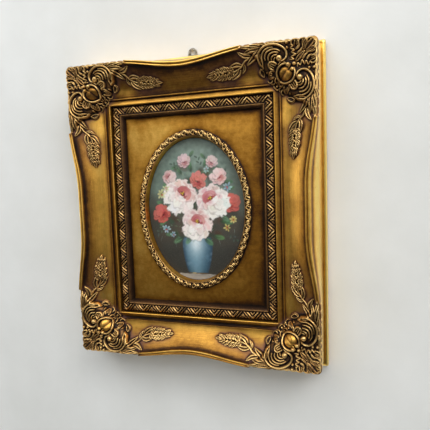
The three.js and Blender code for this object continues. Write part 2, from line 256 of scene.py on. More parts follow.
def corner_relief():
    base = base_d(GT, GS)
    mask = smooth((blur(pad_mask(), 6.0) - 0.10) / 0.80)
    ground = 45.3 - 0.235 * (GT - 8) - 0.16 * np.clip(GT - 36, 0, 99) ** 1.45
    r = np.hypot(GA - 37.6, GB - 39.2)
    ground = ground + 4.6 * np.clip(1 - (r / 17.0) ** 2, 0, 1) ** 1.4
    for ca, cb in ((20.5, 53.5), (53.5, 20.5)):
        ground = ground + 1.5 * np.clip(1 - (np.hypot(GA - ca, GB - cb) / 14.0) ** 2, 0, 1)
    ground = np.maximum(ground, np.minimum(base, 43.4))
    ground = np.maximum(ground, base + 1.0 * (GT > 12))
    inward = smooth((blur(pad_mask(), 22.0) - 0.52) / 0.40)
    ground = np.where(GT > 24, lerp(ground, np.minimum(ground, base + 1.4 + 0.5 * (ground - base - 1.4) * inward), (1 - inward) * smooth((GT - 24) / 5.0)), ground)
    car = lerp(base, ground, mask)
    R = Relief(car)
    rg = np.random.default_rng(11)

    # scale hatching and small pits in the field by the outer corner
    field = smooth((blur(((GA + GB < 60) & (GT > 8.5) & (np.hypot(GA - 38.6, GB - 40) > 13)).astype(float), 4) - 0.4) / 0.3)
    u, v = (GA + GB) / math.sqrt(2), (GA - GB) / math.sqrt(2)
    hatch = np.abs(np.sin(np.pi * u / 2.7)) ** 0.7 * (0.55 + 0.45 * np.cos(2 * np.pi * (v + 1.3 * np.round(u / 2.7)) / 2.6))
    R.z += field * (0.8 * (hatch - 0.5) - 0.5)

    # cartouche: ring open towards the outer corner, boss with a notch, three balls
    cx, cy = 39.0, 40.3
    ring = []
    for k in range(25):
        w = math.radians(lerp(-118, 208, k / 24))
        rad = 9.9 * (1 - 0.02 * math.cos(2 * (w - math.radians(45))))
        ring.append((cx + rad * math.cos(w), cy + rad * math.sin(w), 1.2, 3.3))
    R.tube(ring)
    rr = np.hypot(GA - cx, GB - cy)
    boss = np.where(rr < 7.7, 3.3 * np.clip(1 - (rr / 7.7) ** 2, 0, 1) ** 0.6 - 0.4, -9)
    notch_w = np.abs((GA - cx) - (GB - cy)) / math.sqrt(2)
    notch_u = -((GA - cx) + (GB - cy)) / math.sqrt(2)
    boss = boss - 1.2 * np.exp(-(notch_w / 0.7) ** 2) * smooth((notch_u - 2.6) / 2.5) * (rr < 7.7)
    R.put((slice(None), slice(None)), boss)
    for k in (-1, 1):
        R.tube([(cx - 6.6 + 1.6 * k, cy - 6.6 - 1.6 * k, 0.7, 2.7), (cx - 5.2 + 1.3 * k, cy - 5.2 - 1.3 * k, 0.7, 3.1), (cx - 3.6 + 0.9 * k, cy - 3.6 - 0.9 * k, 0.4, 2.8)])
    R.ball(36.4, 31.6, 2.2, 2.6, 2.0)
    R.ball(31.8, 36.8, 2.2, 2.6, 2.0)
    R.ball(30.0, 31.2, 2.05, 2.5, 1.6)

    for side in (lambda p: p, swap):
        def T(pts, w=1.0, h=2.0, power=0.5):
            R.tube(side([(p[0], p[1], p[2] if len(p) > 2 else w, p[3] if len(p) > 3 else h) for p in pts]), power)

        def B(a, b, r, h, lift=0.0):
            (q,) = side([(a, b)])
            R.ball(q[0], q[1], r, h, lift)

        def F(pts, *k, **kw):
            R.leaf(side(pts), *k, **kw)

        def U(ca, cb, ea, eb, size, w, h):
            na, nb = eb, -ea
            P = [(-3.4, 3.4), (0.2, 3.4), (2.5, 2.3), (3.6, 0.0), (2.5, -2.3), (0.2, -3.4), (-3.4, -3.4)]
            T([(ca + size * (e * ea + n * na), cb + size * (e * eb + n * nb), w, h) for e, n in P])
            for n in (-1.15, 1.15):
                T([(ca + size * (-3.0 * ea + n * na), cb + size * (-3.0 * eb + n * nb), 0.55 * w, 0.8 * h),
                   (ca + size * (1.7 * ea + 0.8 * n * na), cb + size * (1.7 * eb + 0.8 * n * nb), 0.6 * w, 0.95 * h)])

        # C-scroll: rolled rim, concentric flutes, ball in the eye
        T([(27.4, 44.8, 1.0, 3.0), (26.9, 41.4, 1.15, 3.1), (24.0, 38.4, 1.2, 3.1), (19.4, 37.8, 1.25, 3.2), (14.6, 40.8, 1.25, 3.3),
           (11.1, 46.4, 1.25, 3.4), (9.8, 53.2, 1.3, 3.4), (10.9, 60.2, 1.4, 3.5), (14.6, 65.4, 1.45, 3.6), (20.3, 68.4, 1.45, 3.7),
           (26.4, 67.5, 1.3, 3.7), (31.2, 63.7, 0.9, 3.3)])
        T([(30.6, 63.9, 0.6, 3.0), (27.0, 63.6, 0.9, 3.1), (21.4, 64.0, 1.0, 3.0), (16.0, 61.7, 0.95, 2.8), (13.3, 57.2, 0.85, 2.6), (13.0, 52.2, 0.65, 2.3)])
        T([(24.6, 60.4, 0.8, 3.0), (21.4, 60.5, 0.95, 3.0), (17.6, 58.6, 0.95, 2.8), (15.3, 54.4, 0.9, 2.6), (15.2, 49.0, 0.8, 2.5), (17.2, 44.6, 0.65, 2.3)])
        T([(25.2, 56.9, 0.75, 3.0), (22.2, 56.9, 0.9, 3.0), (19.2, 54.8, 0.9, 2.8), (17.9, 50.8, 0.85, 2.6), (18.6, 46.6, 0.7, 2.4)])
        T([(25.4, 53.6, 0.7, 2.9), (23.2, 53.4, 0.85, 2.9), (21.0, 51.0, 0.85, 2.7), (20.9, 47.8, 0.7, 2.4)])
        T([(26.8, 50.8, 0.6, 2.4), (24.6, 50.9, 0.75, 2.6), (23.2, 49.6, 0.6, 2.4)])
        B(24.3, 45.6, 3.0, 3.0, 2.0)
        T([(16.4, 68.2, 0.7, 2.5), (19.6, 66.0, 0.6, 2.3), (25.4, 65.7, 0.5, 2.2)])

        # ribbed U-shaped husks beside the cartouche and towards the sight corner
        U(30.6, 53.6, -0.5, 0.866, 1.0, 1.1, 3.5)
        U(40.0, 56.8, -0.1, 0.995, 0.66, 0.75, 2.1)

        # looped leaf at the end of the scroll, border curls down to the sight corner
        F([(30.6, 66.6), (35.0, 67.4), (39.8, 63.8)], 2.7, 1.9, rib=0.25)
        T([(31.4, 66.4, 0.6, 2.5), (34.2, 68.0, 0.7, 2.6), (37.4, 66.8, 0.75, 2.5), (39.4, 64.2, 0.6, 2.3), (36.6, 63.6, 0.6, 2.3), (33.6, 64.6, 0.6, 2.4), (31.4, 66.4, 0.6, 2.5)])
        T([(43.4, 60.6, 0.6, 1.6), (45.6, 59.0, 0.75, 2.0), (46.0, 56.6, 0.75, 2.1), (44.4, 55.0, 0.6, 1.8)])
        T([(46.8, 52.6, 0.6, 1.7), (48.8, 54.0, 0.75, 2.0), (51.0, 53.8, 0.8, 2.0), (52.4, 52.2, 0.7, 1.8)])
        T([(36.4, 51.6, 0.7, 1.8), (36.0, 54.8, 0.8, 2.5), (37.2, 57.6, 0.6, 2.3)])
        T([(42.6, 50.2, 0.7, 1.6), (44.9, 51.9, 0.8, 2.2), (47.4, 50.8, 0.6, 2.0)])
        T([(44.6, 46.6, 0.6, 1.6), (47.2, 48.6, 0.8, 2.3), (50.0, 48.8, 0.6, 1.9)])
        B(50.4, 50.4, 1.15, 1.5, 1.3)
        B(42.0, 53.4, 1.05, 1.4, 1.2)
        B(36.0, 60.2, 1.0, 1.4, 1.4)

        # jagged line between the field and the scroll, with two drops
        T([(11.8, 33.6, 0.5, 1.6), (13.4, 31.2, 0.8, 2.3), (15.6, 33.6, 0.6, 1.9), (17.6, 29.8, 0.85, 2.5), (19.4, 32.8, 0.6, 1.9), (22.0, 28.6, 0.9, 2.6), (23.8, 33.2, 0.65, 2.0), (26.4, 30.6, 0.8, 2.2), (26.6, 34.6, 0.5, 1.7)])
        F([(17.0, 28.6), (14.8, 25.4), (11.4, 23.8)], 1.3, 1.8, rib=0.3)
        F([(21.4, 27.6), (19.0, 23.6), (15.4, 21.6)], 1.3, 1.7, rib=0.3)
        F([(24.6, 26.8), (23.4, 22.6), (21.0, 19.6)], 1.3, 1.7, rib=0.3)
        B(14.6, 37.0, 1.3, 1.7, 1.4)
        B(9.6, 37.4, 1.5, 1.9, 1.2)
        T([(28.6, 40.0, 0.6, 1.9), (28.4, 43.6, 0.8, 2.4), (30.2, 46.6, 0.6, 2.0)])

        # shells along the outer edge, with pockets between them
        for bc, rad in ((12.8, 3.5), (20.8, 4.0), (29.0, 3.8)):
            arc = []
            for k in range(9):
                w = math.radians(lerp(62, 298, k / 8))
                arc.append((10.6 + 0.95 * rad * math.cos(w), bc + rad * math.sin(w), 0.72 - 0.03 * abs(k - 4), 2.2))
            T(arc)
            T([(13.4, bc + 0.9, 0.4, 0.9), (8.8, bc - 0.2, 0.7, 2.0)])
            T([(12.4, bc - 1.7, 0.4, 0.9), (9.2, bc - 2.0, 0.5, 1.6)])

        # leaf bundle beyond the scroll
        F([(16.0, 66.6), (19.8, 73.0), (26.4, 82.0)], 2.9, 3.7, veins=0.7, edge=0.3)
        F([(13.8, 66.0), (13.8, 75.0), (15.2, 84.6)], 2.5, 3.6, veins=0.5, edge=0.3)
        F([(18.4, 76.0), (17.4, 84.0), (12.8, 91.2)], 2.5, 3.4, veins=0.5, edge=0.3)
        F([(11.4, 63.6), (9.2, 73.0), (9.0, 82.2)], 2.2, 3.6, edge=0.4, rib=0.6)
        F([(12.6, 72.0), (9.8, 80.0), (9.2, 89.6)], 2.1, 3.0, veins=0.4, edge=0.3)
        F([(10.8, 57.6), (8.0, 64.0), (8.4, 71.6)], 1.8, 3.0, edge=0.4, rib=0.6)
        T([(11.4, 61.0, 0.6, 1.6), (8.4, 59.2, 0.85, 2.6), (7.9, 55.6, 0.6, 1.8)])
        T([(10.0, 52.0, 0.6, 1.4), (8.0, 49.8, 0.85, 2.5), (8.3, 46.0, 0.6, 1.6)])

        # spray: stem, leaves, ear of small petals, tip
        T([(19.6, 79.0, 1.0, 3.0), (22.4, 84.0, 1.1, 3.0), (26.8, 88.2, 1.1, 2.9), (30.0, 93.6, 1.05, 2.9), (32.0, 101.0, 1.0, 3.0)])
        F([(28.6, 89.6), (33.8, 92.8), (39.2, 101.2)], 2.7, 3.3, veins=0.6, edge=0.3)
        F([(26.2, 86.6), (24.8, 94.0), (27.4, 104.0)], 2.6, 3.3, veins=0.6, edge=0.3)
        F([(24.0, 86.0), (28.8, 84.8), (34.0, 88.6)], 1.8, 2.8, veins=0.4)
        for k in range(7):
            b0 = 97.6 + 3.75 * k
            half = 5.3 * math.sin(math.pi * (0.27 + 0.66 * (k / 6.0) ** 0.95)) + 0.7
            a0 = 31.4 + 0.30 * k
            for sg in (-1, 1):
                jit = rg.uniform(-0.7, 0.7, 6)
                F([(a0 + sg * 0.5, b0), (a0 + sg * 0.78 * half + jit[0], b0 + 1.8 + jit[1]), (a0 + sg * (half + 0.8) + jit[2], b0 + 5.4 + jit[3])], 1.75, 3.7, rib=0.55, blunt=0.9)
                F([(a0 + sg * 0.2 + jit[4], b0 + 1.2), (a0 + sg * 0.34 * half, b0 + 3.0 + jit[5]), (a0 + sg * 0.30 * half + jit[0], b0 + 5.2)], 1.15, 4.0, rib=0.2, blunt=0.8)
            if k % 2:
                B(a0 + rg.uniform(-0.8, 0.8), b0 + rg.uniform(0.4, 1.6), 1.2, 1.9, 2.4)
        F([(33.4, 119.6), (33.5, 124.6), (33.7, 130.0)], 2.1, 3.1, veins=0.4, edge=0.3)
        F([(33.0, 118.0), (30.6, 121.8), (30.0, 126.6)], 1.5, 2.7)
        F([(33.8, 118.0), (36.4, 121.6), (37.2, 126.2)], 1.5, 2.7)

    # small curled leaf on the mitre at the very corner
    R.leaf([(18.5, 18.5), (13.0, 13.0), (7.9, 7.9)], 3.6, 2.3, veins=0.9, edge=0.25)
    for k in (-1, 1):
        R.leaf([(19.5 + k * 1.0, 19.5 - k * 1.0), (15.0 + k * 4.0, 15.0 - k * 4.0), (9.4 + k * 3.4, 9.4 - k * 3.4)], 1.7, 2.0, veins=0.6, edge=0.2)
    R.leaf([(28.6, 28.6), (24.0, 24.0), (18.8, 18.8)], 2.6, 2.0, veins=0.9, edge=0.2)

    z = R.z
    z = np.where(z > 47.4, 47.4 + 2.1 * np.tanh((z - 47.4) / 2.1), z)
    bare = np.where(base > 47.4, 47.4 + 2.1 * np.tanh((base - 47.4) / 2.1), base)
    return z, bare, mask


Z, Z_BARE, PAD = corner_relief()
EXCESS = Z - Z_BARE
B1, B2, B3 = blur(Z, 2.4), blur(Z, 7.0), blur(Z, 20.0)
BOSS = smooth((7.9 - np.hypot(GA - 39.0, GB - 40.3)) / 1.0)
HIGH = np.clip(0.35 + 0.40 * (Z - B1) / 0.5 + 0.36 * (Z - B2) / 1.3 + 0.20 * BOSS, 0.03, 0.94)
TOUCHED = (EXCESS > 0.25).astype(float)
HALO = np.clip(blur(TOUCHED, 19.0) * 2.4, 0, 1) * (1 - smooth(blur(TOUCHED, 2.0) * 1.6))
OUTLINE = np.clip(blur(TOUCHED, 5.0) * 2.6, 0, 1) * (1 - TOUCHED)
# Bright patches in the coves just beyond the ornament: rubbed gilding with a painted highlight on it.
RUB_AND_HIGHLIGHT = np.maximum(np.exp(-((GS - 71) / 7) ** 2 - ((GT - 39.5) / 5) ** 2), np.exp(-((GS - 81) / 9) ** 2 - ((GT - 41.5) / 5) ** 2)) * (1 - smooth(blur(TOUCHED, 8.0) * 2.5))
HALO = HALO * (1 - 0.9 * np.clip(RUB_AND_HIGHLIGHT * 1.6, 0, 1))
WORKED = smooth(blur(TOUCHED, 2.5) * 1.8 - 0.25)


def sample(raster, a, b):
    x = np.clip((np.asarray(a) - A0) / RES, 0, NR - 1.001)
    y = np.clip((np.asarray(b) - A0) / RES, 0, NR - 1.001)
    i, j = x.astype(int), y.astype(int)
    f, g = x - i, y - j
    return (raster[i, j] * (1 - f) * (1 - g) + raster[i + 1, j] * f * (1 - g) + raster[i, j + 1] * (1 - f) * g + raster[i + 1, j + 1] * f * g)


# ------------------------------------------------------------------ meshes
def make_mesh(name, verts_mm, quads, ngons=(), flat=None, attrs=None, color=None):
    V = np.asarray(verts_mm, np.float64) / 1000.0
    Q = np.asarray(quads, np.int64)
    t1, t2 = V[Q[:, 1]] - V[Q[:, 0]], V[Q[:, 2]] - V[Q[:, 0]]
    t3 = V[Q[:, 3]] - V[Q[:, 0]]
    vol = (V[Q[:, 0]] * (np.cross(t1, t2) + np.cross(t2, t3))).sum()
    for g in ngons:
        P = V[g]
        c = P.mean(0)
        vol += sum(np.dot(c, np.cross(P[k] - c, P[(k + 1) % len(P)] - c)) for k in range(len(P)))
    if vol < 0:
        Q = Q[:, ::-1]
        ngons = [list(g)[::-1] for g in ngons]
    mesh = bpy.data.meshes.new(name)
    loops = np.concatenate([Q.ravel()] + [np.asarray(g) for g in ngons]) if len(ngons) else Q.ravel()
    counts = np.concatenate([np.full(len(Q), 4), [len(g) for g in ngons]]).astype(int) if len(ngons) else np.full(len(Q), 4)
    starts = np.concatenate([[0], np.cumsum(counts)[:-1]])
    mesh.vertices.add(len(V))
    mesh.vertices.foreach_set("co", V.astype(np.float32).ravel())
    mesh.loops.add(len(loops))
    mesh.loops.foreach_set("vertex_index", loops.astype(np.int32))
    mesh.polygons.add(len(counts))
    mesh.polygons.foreach_set("loop_start", starts.astype(np.int32))
    smooth_on = np.ones(len(counts), bool)
    if flat is not None:
        smooth_on[:len(Q)] = ~np.asarray(flat, bool)
    smooth_on[len(Q):] = False
    mesh.polygons.foreach_set("use_smooth", smooth_on)
    mesh.update(calc_edges=True)
    for key, val in (attrs or {}).items():
        val = np.asarray(val, np.float32)
        if val.ndim == 1:
            at = mesh.attributes.new(key, "FLOAT", "POINT")
            at.data.foreach_set("value", val)
        else:
            at = mesh.attributes.new(key, "FLOAT_VECTOR", "POINT")
            at.data.foreach_set("vector", val.ravel())
    if color is not None:
        at = mesh.attributes.new("paint", "FLOAT_COLOR", "POINT")
        c4 = np.concatenate([color, np.ones((len(color), 1))], 1).astype(np.float32)
        at.data.foreach_set("color", c4.ravel())
    # edges of flat faces stay hard, so that they don't bend the shading beside them
    at_edge = np.empty(len(loops), np.int32)
    mesh.loops.foreach_get("edge_index", at_edge)
    hard = np.zeros(len(mesh.edges), bool)
    hard[at_edge[np.repeat(~smooth_on, counts)]] = True
    mesh.attributes.new("sharp_edge", "BOOLEAN", "EDGE").data.foreach_set("value", hard)
    mesh.validate()
    obj = bpy.data.objects.new(name, mesh)
    bpy.context.scene.collection.objects.link(obj)
    return obj


def tube_faces(n, m, offset=0, wrap=True):
    i = np.arange(n - 1)[:, None]
    j = np.arange(m if wrap else m - 1)[None, :]
    a = i * m + j
    b = i * m + (j + 1) % m
    return (np.stack([a, b, b + m, a + m], -1) + offset).reshape(-1, 4)


# section lines: the canonical values of the front, then the hidden sides
C_LINES = np.concatenate([
    np.linspace(0, 1, 5)[:-1], np.linspace(1, 2, 4)[:-1], np.linspace(2, 3, 4)[:-1], np.linspace(3, 4, 4)[:-1],
    np.linspace(4, 5, 72)[:-1], [5.0], np.linspace(6, 7, 4)[:-1], np.linspace(7, 8, 5)[:-1], [8.0],
    np.linspace(9, 10, 9)[:-1], np.linspace(10, 11, 3)])
NF = len(C_LINES)


def side_lines(s, back=0.0):
    """(t, d, tone) of the section's other sides at distance s: sight edge, rebate, back, box side up to the crease; the
    tone is darkened in the groove and at the crease under the outer bead as painted shade over the gilding's own tone.
    """
    k0 = knots(s)[..., 0]
    one = np.ones_like(k0)
    pts = [(55 * one, 20.0, 0.3), (49.5 * one, 20.0, 0.1), (49.5 * one, 0.0, 0.1), (20.6 * one, 0.0, 0.0), (20.55 * one, back, 0.0),
           (0.25 * one, back, 0.0), (0 * one, max(back, 0.25), 0.6), (0 * one, 6.3, 0.85), (0.3 * one, 7.9, 0.95), (1.2 * one, 9.4, 0.95), (2.6 * one, 10.0, 0.86),
           (4.2 * one, 9.6, 0.52), (4.7 * one, 9.9, 0.42), (4.9 * one, 11.6, 0.72), (lerp(4.9, k0, 0.06), 13.6, 0.85),
           (lerp(4.9, k0, 0.36), 29.0, 0.9), (lerp(4.9, k0, 0.72), 36.6, 0.85), (lerp(4.9, k0, 0.93), 40.4, 0.42)]
    t = np.stack([p[0] for p in pts], -1)
    d = np.stack([np.broadcast_to(p[1], k0.shape) for p in pts], -1)
    g = np.stack([np.broadcast_to(p[2], k0.shape) for p in pts], -1)
    return t, d, g


NS = 18
M = NF + NS


def lines_at(s_ref, q, half=None):
    """Section loops for stations: arrays (n, M) of s, t, d, tone. q None: straight across at s_ref."""
    s_ref = np.asarray(s_ref, float)
    n = len(s_ref)
    c = np.broadcast_to(C_LINES, (n, NF))
    sr = np.broadcast_to(s_ref[:, None], (n, NF))
    t = t_of(c, sr)
    ts, ds, gs = side_lines(s_ref)
    T = np.concatenate([t, ts], 1)
    if q is None:
        S = np.broadcast_to(s_ref[:, None], (n, M)).copy()
    else:
        S = T + (S_END - T) * q[:, None]
    D = np.concatenate([base_d(t, S[:, :NF]), ds], 1)
    D[:, 0] = np.minimum(D[:, 0], 41.6)
    G = np.concatenate([np.full((n, NF), 0.5), gs], 1)
    return S, T, D, G


# Per-rail tone offsets along the section: painted light and shade by which way each rail faces, the top rail's cove
# darker, the bottom and side coves lighter and the bottom rail's quirk darkened as the fillet's shadow.
RAIL_LIGHT_AND_SHADE = {
    "top": ((2.6, 3.0, 3.6, 4.1, 4.3, 4.5, 4.7, 4.9, 5.0, 5.2), (0.0, 0.06, 0.0, -0.12, -0.21, -0.21, -0.18, -0.24, -0.2, 0.0)),
    "bottom": ((0.5, 0.9, 1.3, 2.0, 2.6, 3.0, 3.6, 4.1, 4.3, 4.5, 4.7, 4.9, 5.0, 5.6, 6.2, 7.6, 8.2), (-0.2, -0.36, -0.32, -0.05, 0.0, 0.06, 0.0, 0.06, -0.04, -0.09, -0.01, 0.22, 0.1, -0.1, -0.34, -0.34, 0.0)),
    "left": ((2.6, 3.0, 3.6, 4.1, 4.3, 4.5, 4.7, 4.9, 5.0, 9.3, 9.6, 10.4), (0.0, 0.06, 0.0, -0.02, 0.04, 0.14, 0.20, 0.12, 0.0, 0.0, 0.12, 0.06)),
    "right": ((2.4, 3.0, 3.4, 3.6, 4.1, 4.3, 4.5, 4.7, 4.9, 5.0), (0.0, -0.14, -0.1, 0.0, 0.18, 0.14, 0.0, 0.0, 0.12, 0.0)),
}


# Sprays lighter on the bottom and right rails: painted light on the rails that face the light.
SPRAY_RAIL_LIGHT = {"top": 0.0, "bottom": 0.14, "left": 0.0, "right": 0.13}


def tone_front(c, s, t, rail):
    """Patina and painted shade of the plain moulding by place: burnished and worn high, dark in the quirks and under
    the lip as antique wash with painted shade over it; the per-rail table adds painted light and shade by which way
    each rail faces.
    """
    k = np.interp(c, [0, 0.35, 0.8, 1.0, 1.4, 2.0, 2.6, 3.0, 3.4, 4.0, 4.03, 4.12, 4.3, 4.55, 4.8, 4.95, 5.5, 6.0, 6.6, 7.2, 7.8, 8.3, 9.0, 9.3, 9.9, 10.6, 11],
                  [0.30, 0.55, 0.92, 0.97, 0.78, 0.30, 0.75, 0.94, 0.66, 0.10, 0.08, 0.34, 0.52, 0.62, 0.60, 0.42, 0.02, 0.12, 0.50, 0.56, 0.18, 0.02, 0.03, 0.46, 0.62, 0.78, 0.60])
    return np.broadcast_to(k + np.interp(c, *RAIL_LIGHT_AND_SHADE[rail]), t.shape)


def moulding_arrays(S, T, D, G, rail, boss=0.0):
    """Adds the ornament to the section loops and returns positions (a, b, d) and attributes."""
    a, b = (S, T) if rail in ("top", "bottom") else (T, S)
    D = D.copy()
    ex = sample(EXCESS, a[:, :NF], b[:, :NF])
    D[:, :NF] += ex
    D[:, 1:NF] = np.where(D[:, 1:NF] > 47.4, np.minimum(47.4 + 2.1 * np.tanh((np.maximum(D[:, 1:NF], 47.4) - 47.4) / 2.1), D_MAX), D[:, 1:NF])
    worked = sample(WORKED, a[:, :NF], b[:, :NF])
    # boss is the corner's tone shift on the cartouche boss: painted shade at the top corners, a little painted light at
    # the bottom.
    high = sample(HIGH, a[:, :NF], b[:, :NF]) + boss * sample(BOSS, a[:, :NF], b[:, :NF])
    high = high + SPRAY_RAIL_LIGHT[rail] * smooth((S[:, :NF] - 72) / 10) - 0.06 * (1 - smooth((S[:, :NF] - 60) / 12))
    plain = tone_front(C_LINES, S[:, :NF], T[:, :NF], rail)
    # The right rail's hidden sides are toned lighter: painted light on the box side that faces right.
    tone = np.concatenate([lerp(plain, high, worked), G[:, NF:] + (0.1 if rail == "right" else 0.0)], 1)
    # Rubbed gilding with a painted highlight, lifted into the cove's tone.
    rub_and_highlight = np.minimum(0.30 * sample(RUB_AND_HIGHLIGHT, a[:, :NF], b[:, :NF]), np.clip(0.80 - tone[:, :NF], 0, 1))
    tone[:, :NF] = np.clip(tone[:, :NF] + rub_and_highlight - 0.46 * sample(OUTLINE, a[:, :NF], b[:, :NF]), 0, 1)
    zero = np.zeros((len(S), NS))
    halo = np.concatenate([sample(HALO, a[:, :NF], b[:, :NF]), zero], 1)
    sleek = np.concatenate([np.zeros((len(S), NF)), np.broadcast_to(np.array([0.0] * 13 + [1.0] * (NS - 13)), (len(S), NS))], 1)
    work = np.concatenate([worked * (1 - 0.75 * sample(BOSS, a[:, :NF], b[:, :NF])), zero], 1)
    bare = np.concatenate([np.zeros((len(S), NF)), np.broadcast_to(np.array([0.35, 1, 1, 1, 1, 1, 0.38] + [0.0] * (NS - 7)), (len(S), NS))], 1)
    flow = np.stack([S, T, D], -1)
    return a, b, D, dict(tone=tone, halo=halo, work=work, bare=bare, sleek=sleek, flow=flow)


def place(sx, sz, a, b, d):
    return np.stack([sx * (HW - a), -d, ZC + sz * (HH - b)], -1)


def round_corner(a, b, c):
    """Turns the square corner inside (c, c) into a quarter circle."""
    u, v = np.maximum(c - a, 0), np.maximum(c - b, 0)
    k = np.maximum(u, v) / np.maximum(np.hypot(u, v), 1e-9)
    both = (u > 0) & (v > 0)
    return np.where(both, c - u * k, a), np.where(both, c - v * k, b)


NOTCHES = ((16.8, 1.3), (25.0, 1.4), (33.0, 1.3), (40.6, 1.5), (47.4, 0.9), (60.6, 1.1), (66.5, 1.0), (76.0, 1.2), (84.5, 0.9))
EDGE_SHARE = np.concatenate([1 - np.clip(C_LINES / 1.2, 0, 1), [0] * 15, [0.15, 0.45, 0.85]])
ROUND_AT = np.concatenate([np.full(NF, 10.2), [0, 0, 0, 0, 0, 1.6, 1.6, 1.6, 1.6, 2.6, 4.0, 6.0, 10.2, 10.2, 10.2, 10.2, 10.2, 10.2]])


# Tone shift on each corner's cartouche boss: painted shade on the two top corners, a little painted light on the bottom
# ones.
CORNER_BOSS_SHADE = {(-1, 1): -0.24, (1, 1): -0.16, (-1, -1): 0.04, (1, -1): 0.02}


def corner_piece(name, sx, sz):
    n = 272
    q = np.linspace(0, 1, n)
    s_ref = 9.5 + (S_END - 9.5) * q
    S, T, D, G = lines_at(s_ref, q)
    verts, atts, faces, ngons = [], [], [], []
    ah, bh, dh, at_h = moulding_arrays(S, T, D, G, "top" if sz > 0 else "bottom", CORNER_BOSS_SHADE[sx, sz])
    av, bv, dv, at_v = moulding_arrays(S, T, D, G, "right" if sx > 0 else "left", CORNER_BOSS_SHADE[sx, sz])
    # one strip from the end of one wing over the mitre to the end of the other
    A = np.concatenate([ah[::-1], av[1:]])
    B = np.concatenate([bh[::-1], bv[1:]])
    Dd = np.concatenate([dh[::-1], dv[1:]])
    att = {k: np.concatenate([at_h[k][::-1], at_v[k][1:]]) for k in at_h}
    far, near = np.maximum(A, B), np.minimum(A, B)
    dent = sum(h * np.exp(-((far - at) / 1.5) ** 2) for at, h in NOTCHES) * smooth((far - 9.0) / 3.0) * EDGE_SHARE[None, :]
    A = A + np.where(A < B, dent, 0)
    B = B + np.where(B < A, dent, 0)
    A, B = round_corner(A, B, np.broadcast_to(ROUND_AT, A.shape))
    P = place(sx, sz, A, B, Dd)
    N = len(A)
    Q = tube_faces(N, M)
    j = np.tile(np.arange(M), N - 1)
    flat = (j >= NF - 1)
    caps = [list(range(M)), [(N - 1) * M + k for k in range(M)][::-1]]
    flatv = {k: (v.reshape(-1) if v.ndim == 2 else v.reshape(-1, 3)) for k, v in att.items()}
    return make_mesh(name, P.reshape(-1, 3), Q, caps, flat, flatv)


def rail_piece(name, horizontal, sign):
    half = HW if horizontal else HH
    span = half - S_END
    n = int(2 * span / 2.0) + 1
    u = np.linspace(-span, span, n)
    if horizontal and sign > 0:                                   # room for the hanging plate's foot in the back
        u = np.sort(np.concatenate([u, [-8.45, -8.4, 8.4, 8.45]]))
    s = half - np.abs(u)
    S, T, D, G = lines_at(s, None)
    ah, bh, D2, att = moulding_arrays(S, T, D, G, ("top" if sign > 0 else "bottom") if horizontal else ("right" if sign > 0 else "left"))
    if horizontal and sign > 0:
        deep = np.abs(u) <= 8.41
        D2[deep, NF + 4] = 2.1
        D2[deep, NF + 5] = 2.1
        D2[deep, NF + 6] = 2.35
    U = np.broadcast_to(u[:, None], S.shape)
    if horizontal:
        P = np.stack([U, -D2, ZC + sign * (HH - T)], -1)
    else:
        P = np.stack([sign * (HW - T), -D2, ZC + U], -1)
    att["flow"] = np.stack([np.where(U < 0, S, 2 * half - S), T, D2], -1)
    N = len(u)
    Q = tube_faces(N, M)
    j = np.tile(np.arange(M), N - 1)
    caps = [list(range(M)), [(N - 1) * M + k for k in range(M)][::-1]]
    flatv = {k: (v.reshape(-1) if v.ndim == 2 else v.reshape(-1, 3)) for k, v in att.items()}
    return make_mesh(name, P.reshape(-1, 3), Q, caps, j >= NF - 1, flatv)


pieces_outer = [
    corner_piece("frame_corner_tl", -1, 1), corner_piece("frame_corner_tr", 1, 1),
    corner_piece("frame_corner_bl", -1, -1), corner_piece("frame_corner_br", 1, -1),
    rail_piece("frame_rail_top", True, 1), rail_piece("frame_rail_bottom", True, -1),
    rail_piece("frame_rail_left", False, -1), rail_piece("frame_rail_right", False, 1)]


# ------------------------------------------------------------------ liner: zigzag band
CHEVRON = 11.92


def liner_front(t, s):
    """Height of the liner's face: s from the middle of its side, t inwards."""
    d = np.interp(t, [56.6, 57.0, 57.6, 60.5, 64.2, 64.7, 65.2, 65.6, 66.2, 66.7, 67.2, 68.2, 69.6, 70.5, 71.0],
                  [24.2, 25.0, 25.4, 26.1, 25.4, 25.0, 24.4, 24.9, 25.7, 25.95, 25.7, 24.7, 22.6, 20.4, 18.3])
    band = smooth((t - 56.8) / 0.6) * smooth((65.0 - t) / 0.6)
    x = CHEVRON * np.abs(((s / CHEVRON + 1) % 2) - 1)               # 0 under a peak, one half repeat under a dip
    ph = x - (t - 57.2) / 1.16
    order = np.round(ph / 3.97)
    line = np.abs(ph / 3.97 - order) * 2                            # 0 on a ridge
    bold = (order % 3 == 0).astype(float)
    cut = 0.5 + 0.5 * np.sin(12.9898 * order + 4.1414 * np.floor(s / CHEVRON))
    wide = 0.50 + 0.24 * bold + 0.10 * cut
    ridge = np.clip(1 - (line / wide) ** 2, 0, 1) ** 0.6 * (0.78 + 0.20 * bold + 0.12 * cut)
    eye = np.hypot(x - CHEVRON, (t - 59.2)) / 1.45
    knob = np.clip(1 - (eye - 0.75) ** 2 / 0.12, 0, 1) ** 0.5
    ridge = np.where(eye < 1.25, knob, ridge)
    return d + band * (1.7 * ridge - 1.25), band * (0.80 * ridge - 0.33)


